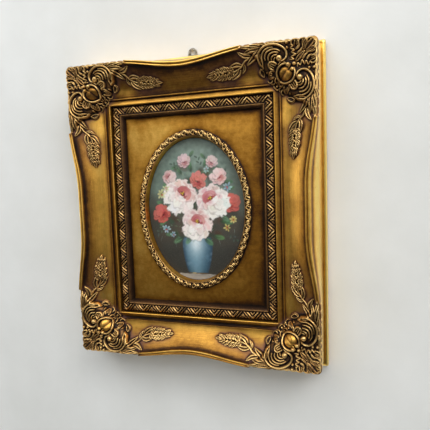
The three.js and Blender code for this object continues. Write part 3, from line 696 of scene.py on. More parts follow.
def liner_piece():
    tl = np.concatenate([[56.6], np.linspace(56.85, 65.6, 21), np.linspace(65.9, 71.0, 13)])
    nf = len(tl)
    sides_t = np.array([71.0, 63.8, 63.8, 49.8, 49.8, 56.6])
    sides_d = np.array([18.3, 18.3, 5.0, 5.0, 19.7, 19.7])
    tl = np.concatenate([tl, sides_t[1:]])
    m = len(tl)
    rows, rows_t, tone, bare, flow = [], [], [], [], []
    for horizontal, sign in ((True, 1), (False, 1), (True, -1), (False, -1)):
        half = HW if horizontal else HH
        ref = half - 63.0
        n = int(round(2 * ref / 0.52))
        q = np.linspace(-1, 1, n + 1)[:-1]
        U = q[:, None] * (half - tl)[None, :]
        T = np.broadcast_to(tl, U.shape)
        D = np.zeros(U.shape)
        dd, hi = liner_front(T[:, :nf], U[:, :nf] * 1.0)
        D[:, :nf] = dd
        D[:, nf:] = sides_d[1:]
        g = np.full(U.shape, 0.1)
        # Darker at the outer edge, in the groove behind the band and at the inner step down to the panel: painted shade
        # in these hollows.
        plain = np.interp(tl[:nf], [56.6, 57.5, 60, 64.5, 65.2, 66.7, 67.6, 69, 71], [0.05, 0.28, 0.34, 0.26, 0.02, 0.52, 0.30, 0.20, 0.02])
        g[:, :nf] = np.clip(plain + 0.05 + 1.05 * hi, 0, 1)
        bb = np.zeros(U.shape)
        bb[:, nf:] = 1
        z = ZC + (sign * (HH - T) if horizontal else -sign * U)
        x = sign * U if horizontal else sign * (HW - T)
        P = np.stack([x, -D, z], -1)
        rows.append(P)
        tone.append(g)
        bare.append(bb)
        flow.append(np.stack([U + half, T, D], -1))
    P = np.concatenate(rows)
    N = len(P)
    Q = tube_faces(N + 1, m) % (N * m)
    j = np.tile(np.arange(m), N)
    g = np.concatenate(tone).ravel()
    return make_mesh("inner_frame_carved", P.reshape(-1, 3), Q, (), j >= nf - 1,
                     dict(tone=g, bare=np.concatenate(bare).ravel(), halo=np.zeros(len(g)), work=np.full(len(g), 0.8), flow=np.concatenate(flow).reshape(-1, 3)))


liner = liner_piece()


# ------------------------------------------------------------------ slip: panel and carved oval ring
RING_REPEATS = 46


def ring_pattern():
    """One repeat of the ring's carving: looped ribbon, slanted leaves, small beads on both edges."""
    period = 11.7
    ax = np.arange(-period, 2 * period, 0.12)
    ay = np.arange(-0.6, 8.6, 0.12)
    R = Relief(np.zeros((len(ax), len(ay))), ax, ay)
    for k in (-1, 0, 1):
        o = k * period
        loop = []
        for i in range(15):
            w = 2 * math.pi * i / 14
            x, y = 2.15 * math.cos(w), 2.35 * math.sin(w)
            loop.append((o + 2.6 + x + 0.35 * y, 3.5 + y, 0.62, 1.45))
        R.tube(loop)
        R.ball(o + 2.6, 3.5, 0.75, 0.8, 0.0)
        R.tube([(o + 4.9, 5.9, 0.5, 1.1), (o + 6.2, 3.9, 0.85, 1.55), (o + 6.5, 1.6, 0.6, 1.2), (o + 5.4, 0.7, 0.4, 0.8)])
        R.tube([(o + 6.9, 6.4, 0.5, 1.0), (o + 8.3, 4.3, 0.9, 1.6), (o + 8.7, 1.8, 0.6, 1.2)])
        R.tube([(o + 9.1, 6.2, 0.5, 1.0), (o + 10.1, 4.1, 0.8, 1.5), (o + 10.4, 1.2, 0.55, 1.1)])
        R.tube([(o - 0.4, 1.0, 0.4, 0.8), (o + 1.4, 0.55, 0.6, 1.1), (o + 3.6, 0.6, 0.55, 1.0), (o + 5.0, 1.0, 0.4, 0.7)])
        R.tube([(o + 0.4, 6.4, 0.4, 0.8), (o + 2.2, 6.75, 0.6, 1.1), (o + 4.4, 6.5, 0.4, 0.8)])
    return ax, ay, R.z, period


def slip_piece():
    ax, ay, pat, period = ring_pattern()
    # stations by arc length on the ring's middle line
    w = np.linspace(0, 2 * np.pi, 20001)
    xm, zm = (OVAL_A - 3.6) * np.cos(w), (OVAL_B - 3.6) * np.sin(w)
    L = np.concatenate([[0], np.cumsum(np.hypot(np.diff(xm), np.diff(zm)))])
    n = 1080
    W = np.interp(np.linspace(0, L[-1], n, endpoint=False), L, w)
    arc = np.linspace(0, RING_REPEATS * period, n, endpoint=False)
    ang = np.arctan2(zm_ := (OVAL_B - 3.6) * np.sin(W), xm_ := (OVAL_A - 3.6) * np.cos(W)) % (2 * np.pi)
    sw, sh = HW - LINER_REBATE_T - 0.3, HH - LINER_REBATE_T - 0.3
    cc = math.atan2(sh, sw)
    for c in (cc, math.pi - cc, math.pi + cc, 2 * math.pi - cc):
        ang[np.argmin(np.abs(ang - c))] = c
    ca, sa = np.cos(ang), np.sin(ang)
    kk = np.minimum(sw / np.maximum(1e-9, np.abs(ca)), sh / np.maximum(1e-9, np.abs(sa)))
    rect = np.stack([kk * ca, kk * sa], -1)
    off = np.concatenate([np.linspace(0, 7.4, 20), np.linspace(7.7, 9.8, 6)])
    f_panel = np.array([1.0, 0.86, 0.7, 0.52, 0.36, 0.22, 0.13, 0.07, 0.03])
    rows, D, tone, bare, flow = [], [], [], [], []

    def ell(o):
        a, b = OVAL_A - o, OVAL_B - o
        r = 1 / np.hypot(ca / a, sa / b)
        return np.stack([r * ca, r * sa], -1)

    for f in f_panel:
        p = ell(0) * (1 - f) + rect * f
        rows.append(p)
        dist = np.hypot(*(p - ell(0)).T)
        D.append(np.full(n, SLIP_D))
        edge = np.minimum(sw - np.abs(p[:, 0]), sh - np.abs(p[:, 1]))
        # Panel tone: lighter to the left as painted light, darker towards the liner's edge and round the foot of the
        # oval ring as painted shade.
        tone.append(0.72 - 0.19 * p[:, 0] / 100 - 0.17 * np.exp(-np.clip(edge - 6.0, 0, 99) / 8.5) - 0.41 * np.exp(-dist / 2.9) - 0.4 * np.exp(-np.clip(edge - 6.0, 0, 99) / 3.0))
        bare.append(np.zeros(n))
        flow.append(np.stack([p[:, 0] + 300, p[:, 1] + 300, np.full(n, SLIP_D)], -1))
    prof_o = [0, 0.25, 0.8, 2.0, 3.5, 5.5, 6.8, 7.5, 7.8, 8.4, 9.2, 9.8]
    prof_d = [0, 1.2, 2.2, 3.1, 3.4, 3.2, 2.7, 2.2, 1.9, -0.6, -3.2, -5.0]
    for o in off:
        p = ell(o)
        rows.append(p)
        d = np.interp(o, prof_o, prof_d)
        x = arc % period
        i = np.clip(((x - ax[0]) / 0.12), 0, len(ax) - 1.001)
        jy = np.clip((o - ay[0]) / 0.12, 0, len(ay) - 1.001)
        i0 = i.astype(int)
        j0 = int(jy)
        fi, fj = i - i0, jy - j0
        h = (pat[i0, j0] * (1 - fi) * (1 - fj) + pat[i0 + 1, j0] * fi * (1 - fj) + pat[i0, j0 + 1] * (1 - fi) * fj + pat[i0 + 1, j0 + 1] * fi * fj)
        h = h * (1 - smooth((o - 7.0) / 0.6)) * smooth(o / 0.3)
        low = np.interp(o, [0, 0.5, 1.2, 6.6, 7.3, 9.8], [0, -0.2, -0.9, -0.9, 0, 0])
        D.append(SLIP_D + d + low * 1.4 + h * 1.25)
        plain = np.interp(o, [0, 0.6, 7.0, 7.6, 8.2, 9.4, 9.8], [0.02, 0.10, 0.10, 0.80, 0.84, 0.8, 0.4])
        tone.append(np.clip(plain + (1 - smooth((o - 7.0) / 0.5)) * 0.95 * smooth(h / 1.35), 0, 1))
        bare.append(np.zeros(n))
        flow.append(np.stack([arc, np.full(n, o + 500), D[-1]], -1))
    for p, d in ((rect, SLIP_BACK),):
        rows.append(p)
        D.append(np.full(n, d))
        tone.append(np.full(n, 0.1))
        bare.append(np.ones(n))
        flow.append(np.stack([arc, np.full(n, 0.0), D[-1]], -1))
    m = len(rows)
    P = np.stack(rows, 1)
    Dd = np.stack(D, 1)
    V = np.stack([P[..., 0], -Dd, ZC + P[..., 1]], -1)
    Q = tube_faces(n + 1, m) % (n * m)
    j = np.tile(np.arange(m), n)
    nf = m - 1
    g = np.stack(tone, 1).ravel()
    is_ring = np.zeros((n, m))
    is_ring[:, len(f_panel):len(f_panel) + 21] = 1
    return make_mesh("oval_slip_carved", V.reshape(-1, 3), Q, (), j >= nf - 1,
                     dict(tone=g, bare=np.stack(bare, 1).ravel(), halo=np.zeros(len(g)), work=is_ring.ravel(), flow=np.stack(flow, 1).reshape(-1, 3)))


slip = slip_piece()

# ------------------------------------------------------------------ the painted picture
PR = 0.3
PU = np.arange(-68.0, 68.0 + PR, PR)
PV = np.arange(-93.0, 93.0 + PR, PR)
UU, VV = np.meshgrid(PU, PV, indexing="ij")
rngp = np.random.default_rng(23)


def lin(rgb):
    c = np.asarray(rgb, float) / 255.0
    return np.where(c <= 0.04045, c / 12.92, ((c + 0.055) / 1.055) ** 2.4)


def cloud(shape, sigma, seed):
    r = np.random.default_rng(seed)
    z = blur(r.standard_normal(shape), sigma)
    return z / z.std()


N1, N2, N3 = cloud(UU.shape, 14, 1), cloud(UU.shape, 5, 2), cloud(UU.shape, 2.0, 3)
canvas = np.zeros(UU.shape + (3,))
impasto = np.zeros(UU.shape)


def wash(mask, rgb):
    m = mask[..., None]
    canvas[...] = canvas * (1 - m) + lin(rgb) * m


def dab(u, v, ru, rv, ang, rgb, alpha=1.0, soft=0.35, lift=0.06, rgb2=None, streak=0.25):
    """One brush mark: an ellipse turned by ang, colour running from rgb at its root to rgb2 at its tip."""
    R = max(ru, rv) * 1.15 + 0.5
    i0, i1 = np.searchsorted(PU, [u - R, u + R])
    j0, j1 = np.searchsorted(PV, [v - R, v + R])
    if i1 <= i0 or j1 <= j0:
        return
    X, Y = UU[i0:i1, j0:j1] - u, VV[i0:i1, j0:j1] - v
    c, s = math.cos(ang), math.sin(ang)
    x, y = (X * c + Y * s) / ru, (-X * s + Y * c) / rv
    r = np.sqrt(x * x + y * y) + 0.07 * N2[i0:i1, j0:j1] * min(1.0, 2.5 / max(ru, rv) + 0.4)
    m = smooth((1 - r) / soft) * alpha
    m = m * (1 - streak * (0.5 + 0.5 * np.sin(y * rv * 5.2 + 1.7 * N2[i0:i1, j0:j1] + u)))
    col = lin(rgb)
    if rgb2 is not None:
        k = smooth((x + 0.8) / 1.6)[..., None]
        col = lin(rgb) * (1 - k) + lin(rgb2) * k
    canvas[i0:i1, j0:j1] = canvas[i0:i1, j0:j1] * (1 - m[..., None]) + col * m[..., None]
    rim = np.exp(-((r - 0.82) / 0.16) ** 2)
    impasto[i0:i1, j0:j1] = impasto[i0:i1, j0:j1] * (1 - 0.6 * m) + m * lift * (0.5 + 0.8 * rim + 0.3 * np.sin(y * rv * 5.2))


def vary(rgb, amount=10):
    return np.clip(np.asarray(rgb, float) + rngp.normal(0, amount, 3) * 0.5 + rngp.normal(0, amount) * 0.7, 0, 255)


def mixc(a, b, f):
    return np.asarray(a, float) * (1 - f) + np.asarray(b, float) * f


def stroke(pts, rgb, rgb2=None, alpha=1.0, soft=0.3, lift=0.08, streak=0.22, wob=0.10, rim=None):
    """A brush stroke along (u, v, half width) points, rgb at the start to rgb2 at the end, with its rim touched lighter."""
    pad = max(q[2] for q in pts) * 1.35 + 0.6
    win, x, t, c, _ = along(pts, pad, PU, PV)
    if x.size == 0:
        return
    w = np.maximum(c[..., 2], 0.05)
    r = np.abs(x) / w + wob * N2[win] + 0.4 * wob * N3[win]
    m = smooth((1 - r) / soft) * alpha
    hair = 0.5 + 0.5 * np.sin(x * 4.6 + 1.4 * N2[win] + 3.0 * pts[0][0])
    m = m * (1 - streak * hair)
    a = lin(rgb)
    col = np.broadcast_to(a, x.shape + (3,))
    if rgb2 is not None:
        k = smooth(1.45 * t - 0.05)[..., None]
        col = a * (1 - k) + lin(rgb2) * k
    if rim is not None:
        k = (np.exp(-((r - 0.74) / 0.17) ** 2) * smooth((t - 0.25) / 0.5) * 0.8)[..., None]
        col = col * (1 - k) + lin(rim) * k
    canvas[win] = canvas[win] * (1 - m[..., None]) + col * m[..., None]
    edge = np.exp(-((r - 0.8) / 0.18) ** 2)
    impasto[win] = impasto[win] * (1 - 0.5 * m) + m * lift * (0.5 + 0.7 * edge + 0.3 * hair)


def petal(u, v, w, length, width, root, tip, rim=None, bend=0.0):
    c, s = math.cos(w), math.sin(w)
    nx, ny = -s, c

    def at(f, b):
        return u + c * length * f + nx * bend * length * b, v + s * length * f + ny * bend * length * b
    P = [at(0, 0) + (width * 0.34,), at(0.32, 0.10) + (width * 0.50,), at(0.58, 0.25) + (width * 0.56,), at(0.74, 0.36) + (width * 0.50,)]
    sh = [(q[0] - 0.4, q[1] - 0.9, q[2] * 1.08) for q in P]
    stroke(sh, vary(np.asarray(root) * 0.5, 5), vary(mixc(root, tip, 0.35) * 0.50, 5), 0.72, 0.45, 0.0, 0.1)
    stroke(P, vary(root, 8), vary(tip, 7), 0.97, 0.22, 0.10, 0.14, 0.10, rim)
    for b in (-0.16, 0.17):
        Q = [at(0.08, b * 0.4)[0:2] + (width * 0.05,), at(0.4, 0.10)[0:2] + (width * 0.05,), at(0.7, 0.28)[0:2] + (width * 0.03,)]
        Q = [(q[0] + nx * b * width * 1.3 * (0.4 + k * 0.3), q[1] + ny * b * width * 1.3 * (0.4 + k * 0.3), q[2]) for k, q in enumerate(Q)]
        stroke(Q, vary(mixc(root, tip, 0.2), 6), vary(mixc(root, tip, 0.6), 6), 0.55, 0.6, 0.03, 0.0)


def bloom(u, v, R, face, pale, rose, deep, heart=True, n=12):
    """A loose open bloom: broad pale petals fullest on the side it faces, a rosy cup set back, a dark heart."""
    dab(u + 0.5, v - 1.6, 1.02 * R, 0.95 * R, 0, (48, 44, 42), 0.6, 0.45, 0.0)
    ph = rngp.uniform(0, 1)
    angs = sorted([(2 * math.pi * (k + ph) / n + rngp.normal(0, 0.10)) for k in range(n)], key=lambda w: math.cos(w - face))
    for w in angs:
        k = 0.5 + 0.5 * math.cos(w - face)
        ln = R * (0.60 + 0.14 * k + rngp.uniform(-0.04, 0.04))
        petal(u + 0.22 * R * math.cos(w), v + 0.20 * R * math.sin(w), w, ln, R * (0.78 + 0.06 * k),
              mixc(deep, pale, 0.30 + 0.55 * k) * 0.92, mixc(rose, pale, 0.50 + 0.5 * k), mixc(rose, pale, 0.9 + 0.1 * k), rngp.uniform(-0.25, 0.25))
    angs = sorted([(2 * math.pi * (k + ph) / 6 + 0.4 + rngp.normal(0, 0.12)) for k in range(6)], key=lambda w: math.cos(w - face))
    for w in angs:
        k = 0.5 + 0.5 * math.cos(w - face)
        petal(u + 0.06 * R * math.cos(w), v + 0.06 * R * math.sin(w), w, R * (0.46 + 0.14 * k), R * (0.52 + 0.08 * k),
              mixc(deep, rose, 0.5 + 0.4 * k), mixc(rose, pale, 0.25 + 0.75 * k), mixc(rose, pale, 0.6 + 0.4 * k), rngp.uniform(-0.3, 0.3))
    cu, cv = u - 0.20 * R * math.cos(face), v - 0.20 * R * math.sin(face)
    dab(cu, cv, 0.50 * R, 0.40 * R, face + math.pi / 2, vary(mixc(deep, rose, 0.25), 6), 0.96, 0.35, 0.04)
    for j in range(4):
        rad = R * (0.46 - 0.085 * j)
        span = 1.75 - 0.2 * j
        tilt = rngp.normal(0, 0.15)
        P = [(cu + rad * math.cos(face + math.pi + tilt + f * span), cv + 0.88 * rad * math.sin(face + math.pi + tilt + f * span), R * (0.085 if abs(f) < 0.7 else 0.05)) for f in np.linspace(-1, 1, 7)]
        stroke(P, vary(mixc(rose, pale, 0.15 + 0.15 * (j % 2)), 8), vary(mixc(deep, rose, 0.75), 8), 0.92, 0.4, 0.10, 0.25)
    for j in range(3):
        rad = R * (0.42 - 0.10 * j)
        P = [(cu + rad * math.cos(face + f * (1.15 - 0.15 * j)), cv + 0.9 * rad * math.sin(face + f * (1.15 - 0.15 * j)), R * (0.12 - 0.02 * j) * (1 - 0.45 * abs(f))) for f in np.linspace(-1, 1, 7)]
        stroke(P, vary(mixc(rose, pale, 0.75 - 0.15 * j), 6), vary(pale, 5), 0.95, 0.35, 0.12, 0.18)
    if heart:
        dab(cu, cv, 0.17 * R, 0.13 * R, face + math.pi / 2, (44, 26, 24), 0.95, 0.5, 0.02)
        for k in range(8):
            w = rngp.uniform(0, 6.28)
            q = rngp.uniform(0.0, 0.13) * R
            dab(cu + q * math.cos(w), cv + q * math.sin(w), 0.055 * R, 0.04 * R, w, vary((214, 176, 58), 12), 0.95, 0.4, 0.14)
        dab(cu + 0.07 * R, cv - 0.05 * R, 0.05 * R, 0.045 * R, 0, (30, 24, 24), 0.9, 0.4, 0.05)
    else:
        dab(cu, cv, 0.15 * R, 0.10 * R, face + math.pi / 2, vary(np.asarray(deep) * 0.7, 5), 0.9, 0.5, 0.02)


def daisy(u, v, R, petals, rgb, rgb2, dots):
    ph = rngp.uniform(0, 6.28)
    for k in range(petals):
        w = ph + 2 * math.pi * k / petals + rngp.normal(0, 0.14)
        ln = R * rngp.uniform(0.8, 1.1)
        dab(u + 0.55 * ln * math.cos(w), v + 0.55 * ln * math.sin(w), 0.5 * ln, 0.24 * R, w, vary(rgb2, 10), 0.9, 0.35, 0.10, vary(rgb, 10))
    for k in range(3):
        w = rngp.uniform(0, 6.28)
        dab(u + 0.2 * R * math.cos(w), v + 0.2 * R * math.sin(w), 0.15 * R, 0.11 * R, w, vary(dots, 8), 0.95, 0.3, 0.12)


def leafy(u, v, length, width, ang, dark=(34, 58, 42), light=(96, 138, 96)):
    cu, cv = u + math.cos(ang) * length * 0.5, v + math.sin(ang) * length * 0.5
    dab(cu, cv, length * 0.52, width * 0.5, ang, vary(dark, 8), 0.9, 0.35, 0.05, vary(light, 10))
    dab(cu - 0.12 * width * math.sin(ang), cv + 0.12 * width * math.cos(ang), length * 0.38, width * 0.14, ang, vary(light, 10), 0.65, 0.5, 0.07)
    dab(cu, cv, length * 0.46, 0.28, ang, vary(np.asarray(dark) * 0.7, 4), 0.7, 0.6, 0.02)


def paint_picture():
    canvas[...] = lin((64, 63, 54))
    up = smooth((VV + 16 + 9 * N1) / 62)
    wash(up * 0.92, (122, 144, 132))
    wash(smooth((VV - 26 + 0.5 * UU + 8 * N1) / 46) * 0.55, (150, 168, 156))
    wash(smooth((UU - 14 - 0.25 * VV + 9 * N1) / 50) * 0.62 * up, (80, 84, 72))
    wash(np.clip(0.24 + 0.16 * N2, 0, 1) * up, (88, 104, 92))
    wash(np.clip(0.20 + 0.18 * N1, 0, 1) * (1 - up), (92, 76, 60))
    wash(smooth((-VV - 26 + 4 * N1) / 30) * 0.85, (46, 47, 42))
    impasto[...] += 0.012 * N3 + 0.01 * N2
    # ledge
    wash(smooth((-VV - 79.6 + 0.3 * N2) / 1.2), (196, 190, 178))
    wash(smooth((-VV - 83.4 + 0.5 * N2) / 4.0) * 0.5, (166, 158, 146))
    # soft green and dark mass behind the flowers
    for k in range(110):
        w, q = rngp.uniform(0, 6.28), math.sqrt(rngp.uniform(0, 1))
        u, v = 46 * q * math.cos(w), 8 + 52 * q * math.sin(w)
        dab(u, v, rngp.uniform(5, 10), rngp.uniform(3, 6), rngp.uniform(0, 3.14), vary((46, 68, 48) if rngp.uniform() < 0.6 else (72, 56, 46), 12), 0.60, 0.7, 0.03)
    # vase: rounded shoulders, narrow foot
    vv = np.clip((VV + 78.8) / 44.0, 0, 1)
    half = 13.2 + 6.8 * np.sin(np.pi * 0.56 * vv ** 0.9) - 1.6 * smooth((vv - 0.86) / 0.14)
    body = smooth((half - np.abs(UU - 1.0)) / 0.9) * smooth((VV + 79.2) / 0.8) * smooth((-34.2 - VV) / 0.8)
    x = (UU - 1.0) / np.maximum(half, 1)
    wash(body, (52, 88, 108))
    wash(body * smooth(1 - np.abs(x + 0.12) / 0.95) * 0.9, (100, 140, 158))
    wash(body * np.exp(-((x + 0.12) / 0.52) ** 2 - ((VV + 42) / 17) ** 2) * 0.85, (176, 204, 214))
    wash(body * np.exp(-((x + 0.10) / 0.30) ** 2 - ((VV + 40) / 9) ** 2) * 0.8, (226, 234, 236))
    wash(body * smooth((np.abs(x) - 0.7) / 0.3) * 0.6, (28, 46, 66))
    wash(body * np.clip(0.14 * N2, 0, 0.3), (120, 150, 168))
    impasto[...] += body * 0.02 * np.sin(UU * 3 + N2)
    dab(0.5, -79.6, 16, 1.1, 0, (120, 96, 58), 0.9, 0.5, 0.04)
    dab(-4, -79.4, 4, 0.8, 0, (222, 196, 120), 0.9, 0.5, 0.06)
    wash(np.exp(-((UU - 6) / 20) ** 2 - ((VV + 82) / 2.2) ** 2) * 0.4, (90, 84, 78))
    # leaves
    for (u, v, ln, wd, an) in ((-16, -34, 17, 8, 3.6), (-6, -32, 14, 8, 4.2), (10, -34, 16, 8, 5.5), (20, -32, 18, 7, 6.0), (-24, -30, 18, 7, 3.3),
                               (30, -14, 18, 7, -0.5), (36, 2, 15, 6, 0.2), (-36, -12, 16, 6, 3.4), (-40, 6, 14, 6, 2.8), (-30, 24, 16, 6, 2.4),
                               (26, 34, 15, 6, 0.8), (-20, 55, 12, 5, 3.4), (-6, 64, 11, 5, 0.9), (28, 52, 12, 5, -0.4), (16, 61, 11, 5, 2.4), (-28, 33, 14, 6, 3.1), (36, 33, 14, 6, 0.1), (12, -4, 12, 7, 0.6), (-8, 2, 12, 7, 1.3), (-34, 3, 15, 7, 4.2), (30, -6, 15, 7, 5.6), (-4, 46, 15, 6, 1.7), (12, 50, 14, 5, 1.2), (-16, 44, 13, 5, 2.2), (0, -6, 12, 7, 4.7), (4, -22, 12, 7, 4.5), (-2, 22, 11, 6, 2.9), (40, 22, 13, 5, 0.5)):
        leafy(u, v, ln, wd, an + rngp.normal(0, 0.1))
    for (u, v, ln, an) in ((8, 54, 13, 1.9), (-22, 50, 12, 2.3), (34, 38, 12, 0.9), (-44, -22, 13, 3.9), (44, -30, 12, 5.4)):
        for k in range(4):
            leafy(u + k * 0.25 * ln * math.cos(an), v + k * 0.25 * ln * math.sin(an), ln * 0.42, 2.6, an + (0.7 if k % 2 else -0.7), (52, 66, 58), (88, 108, 92))
    W, P, PD = (250, 247, 241), (206, 122, 122), (142, 46, 50)
    # buds and side flowers first, the large heads over them
    bloom(31, 40, 10.0, 2.4, (238, 214, 210), (214, 146, 144), (168, 82, 84), heart=False, n=10)
    bloom(-33, 41, 9.0, -0.6, (228, 206, 202), (198, 138, 138), (150, 80, 84), heart=False, n=10)
    bloom(45, 8, 11.5, 0.9, (214, 112, 100), (178, 68, 60), (112, 32, 32), heart=False, n=10)
    bloom(-45, -5, 11.0, 2.6, (210, 108, 96), (174, 64, 58), (110, 32, 32), heart=False, n=10)
    bloom(-13, 60, 8.2, 1.9, (222, 196, 196), (190, 134, 138), (134, 74, 80), heart=False, n=11)
    bloom(23, 58, 7.2, 0.9, (226, 206, 202), (196, 140, 140), (140, 78, 82), heart=False, n=10)
    bloom(5, 36, 10.5, 1.2, (220, 134, 122), (184, 80, 74), (116, 34, 36), heart=False, n=10)
    bloom(-19, 17, 21.0, 3.9, W, P, PD)
    bloom(22, 11, 20.0, -0.9, W, (210, 130, 130), PD)
    bloom(1, -18, 19.0, 4.4, (248, 242, 235), P, PD)
    daisy(-45, 20, 6.6, 7, (226, 222, 170), (182, 176, 116), (196, 52, 44))
    daisy(-38, 27, 5.0, 6, (216, 214, 164), (168, 166, 110), (196, 52, 44))
    daisy(42, 27, 6.2, 7, (176, 206, 214), (112, 152, 170), (206, 50, 46))
    daisy(48, -12, 5.6, 7, (228, 214, 142), (190, 168, 84), (206, 60, 46))
    daisy(40, -22, 5.2, 6, (220, 206, 130), (178, 156, 76), (206, 60, 46))
    daisy(-40, -24, 6.0, 7, (190, 212, 218), (118, 156, 174), (206, 50, 46))
    daisy(-31, -31, 4.4, 6, (180, 204, 212), (112, 148, 168), (206, 50, 46))
    daisy(16, 49, 4.6, 6, (196, 214, 214), (128, 160, 170), (200, 60, 50))
    for (u, v, an) in ((-47, -36, 4.4), (-28, -42, 4.9), (30, -40, 5.0), (49, -26, 4.6)):
        dab(u, v, 5.5, 0.35, an, (124, 142, 130), 0.7, 0.6, 0.05)
    for k in range(60):
        w, q = rngp.uniform(0, 6.28), rngp.uniform(0.55, 1.0)
        u, v = 45 * q * math.cos(w), 6 + 50 * q * math.sin(w)
        dab(u, v, rngp.uniform(1.2, 2.6), rngp.uniform(0.4, 0.8), rngp.uniform(0, 3.14), vary((112, 140, 104) if rngp.uniform() < 0.7 else (150, 160, 140), 12), 0.55, 0.4, 0.08)
    # darker towards the frame, all round the oval
    e = (UU / 62.4) ** 2 + (VV / 87.5) ** 2
    wash(smooth((e - 0.50) / 0.6) * 0.42, (34, 34, 32))


paint_picture()
impasto[...] = np.clip(impasto, 0, 0.42)


def painting_piece():
    fine_u = np.linspace(-65, 65, 204)
    fine_v = np.linspace(-90, 90, 284)
    gu = np.concatenate([[-76, -70], fine_u, [70, 76]])
    gv = np.concatenate([[-102, -96], fine_v, [96, 102]])
    X, Zv = np.meshgrid(gu, gv, indexing="ij")
    xi = np.clip((X - PU[0]) / PR, 0, len(PU) - 1.001)
    yi = np.clip((Zv - PV[0]) / PR, 0, len(PV) - 1.001)
    i, j = xi.astype(int), yi.astype(int)
    f, g = (xi - i)[..., None], (yi - j)[..., None]
    col = canvas[i, j] * (1 - f) * (1 - g) + canvas[i + 1, j] * f * (1 - g) + canvas[i, j + 1] * (1 - f) * g + canvas[i + 1, j + 1] * f * g
    f, g = f[..., 0], g[..., 0]
    h = impasto[i, j] * (1 - f) * (1 - g) + impasto[i + 1, j] * f * (1 - g) + impasto[i, j + 1] * (1 - f) * g + impasto[i + 1, j + 1] * f * g
    h = h * (smooth((66 - np.abs(X)) / 2) * smooth((91 - np.abs(Zv)) / 2))
    nu, nv = X.shape
    front = np.stack([X, -(BOARD_D - 0.02 + 0.0 * X) - h * 0.0, ZC + Zv], -1)
    front[..., 1] = -(BOARD_D - 0.28 + np.minimum(h, 0.42) * 0.66)
    V = list(front.reshape(-1, 3))
    a = np.arange(nu - 1)[:, None] * nv + np.arange(nv - 1)[None, :]
    Q = np.stack([a, a + nv, a + nv + 1, a + 1], -1).reshape(-1, 4)
    # rim and back
    rim = [k * nv for k in range(nu)] + [(nu - 1) * nv + k for k in range(1, nv)] + [k * nv + nv - 1 for k in range(nu - 2, -1, -1)] + [k for k in range(nv - 2, 0, -1)]
    base = len(V)
    fr = front.reshape(-1, 3)
    for k in rim:
        V.append((fr[k][0], -(BOARD_D - BOARD_T), fr[k][2]))
    nr = len(rim)
    sideq = [(rim[k], rim[(k + 1) % nr], base + (k + 1) % nr, base + k) for k in range(nr)]
    # orientation: front quads as made, sides matched to them
    Q = np.concatenate([Q, np.array(sideq)[:, ::-1]])
    back = [base + k for k in range(nr)]
    V = np.array(V)
    col2 = np.concatenate([col.reshape(-1, 3), np.tile(lin((92, 68, 44)), (nr, 1))])
    bare = np.concatenate([np.zeros(nu * nv), np.ones(nr)])
    flat = np.zeros(len(Q), bool)
    flat[-nr:] = True
    # the front faces must face -Y
    n0 = np.cross(V[Q[0, 1]] - V[Q[0, 0]], V[Q[0, 2]] - V[Q[0, 0]])
    return make_mesh("painted_board", V, Q, [back[::-1]], flat, dict(bare=bare, tone=np.concatenate([h.ravel(), np.zeros(nr)])), color=col2), n0


painting, _n0 = painting_piece()


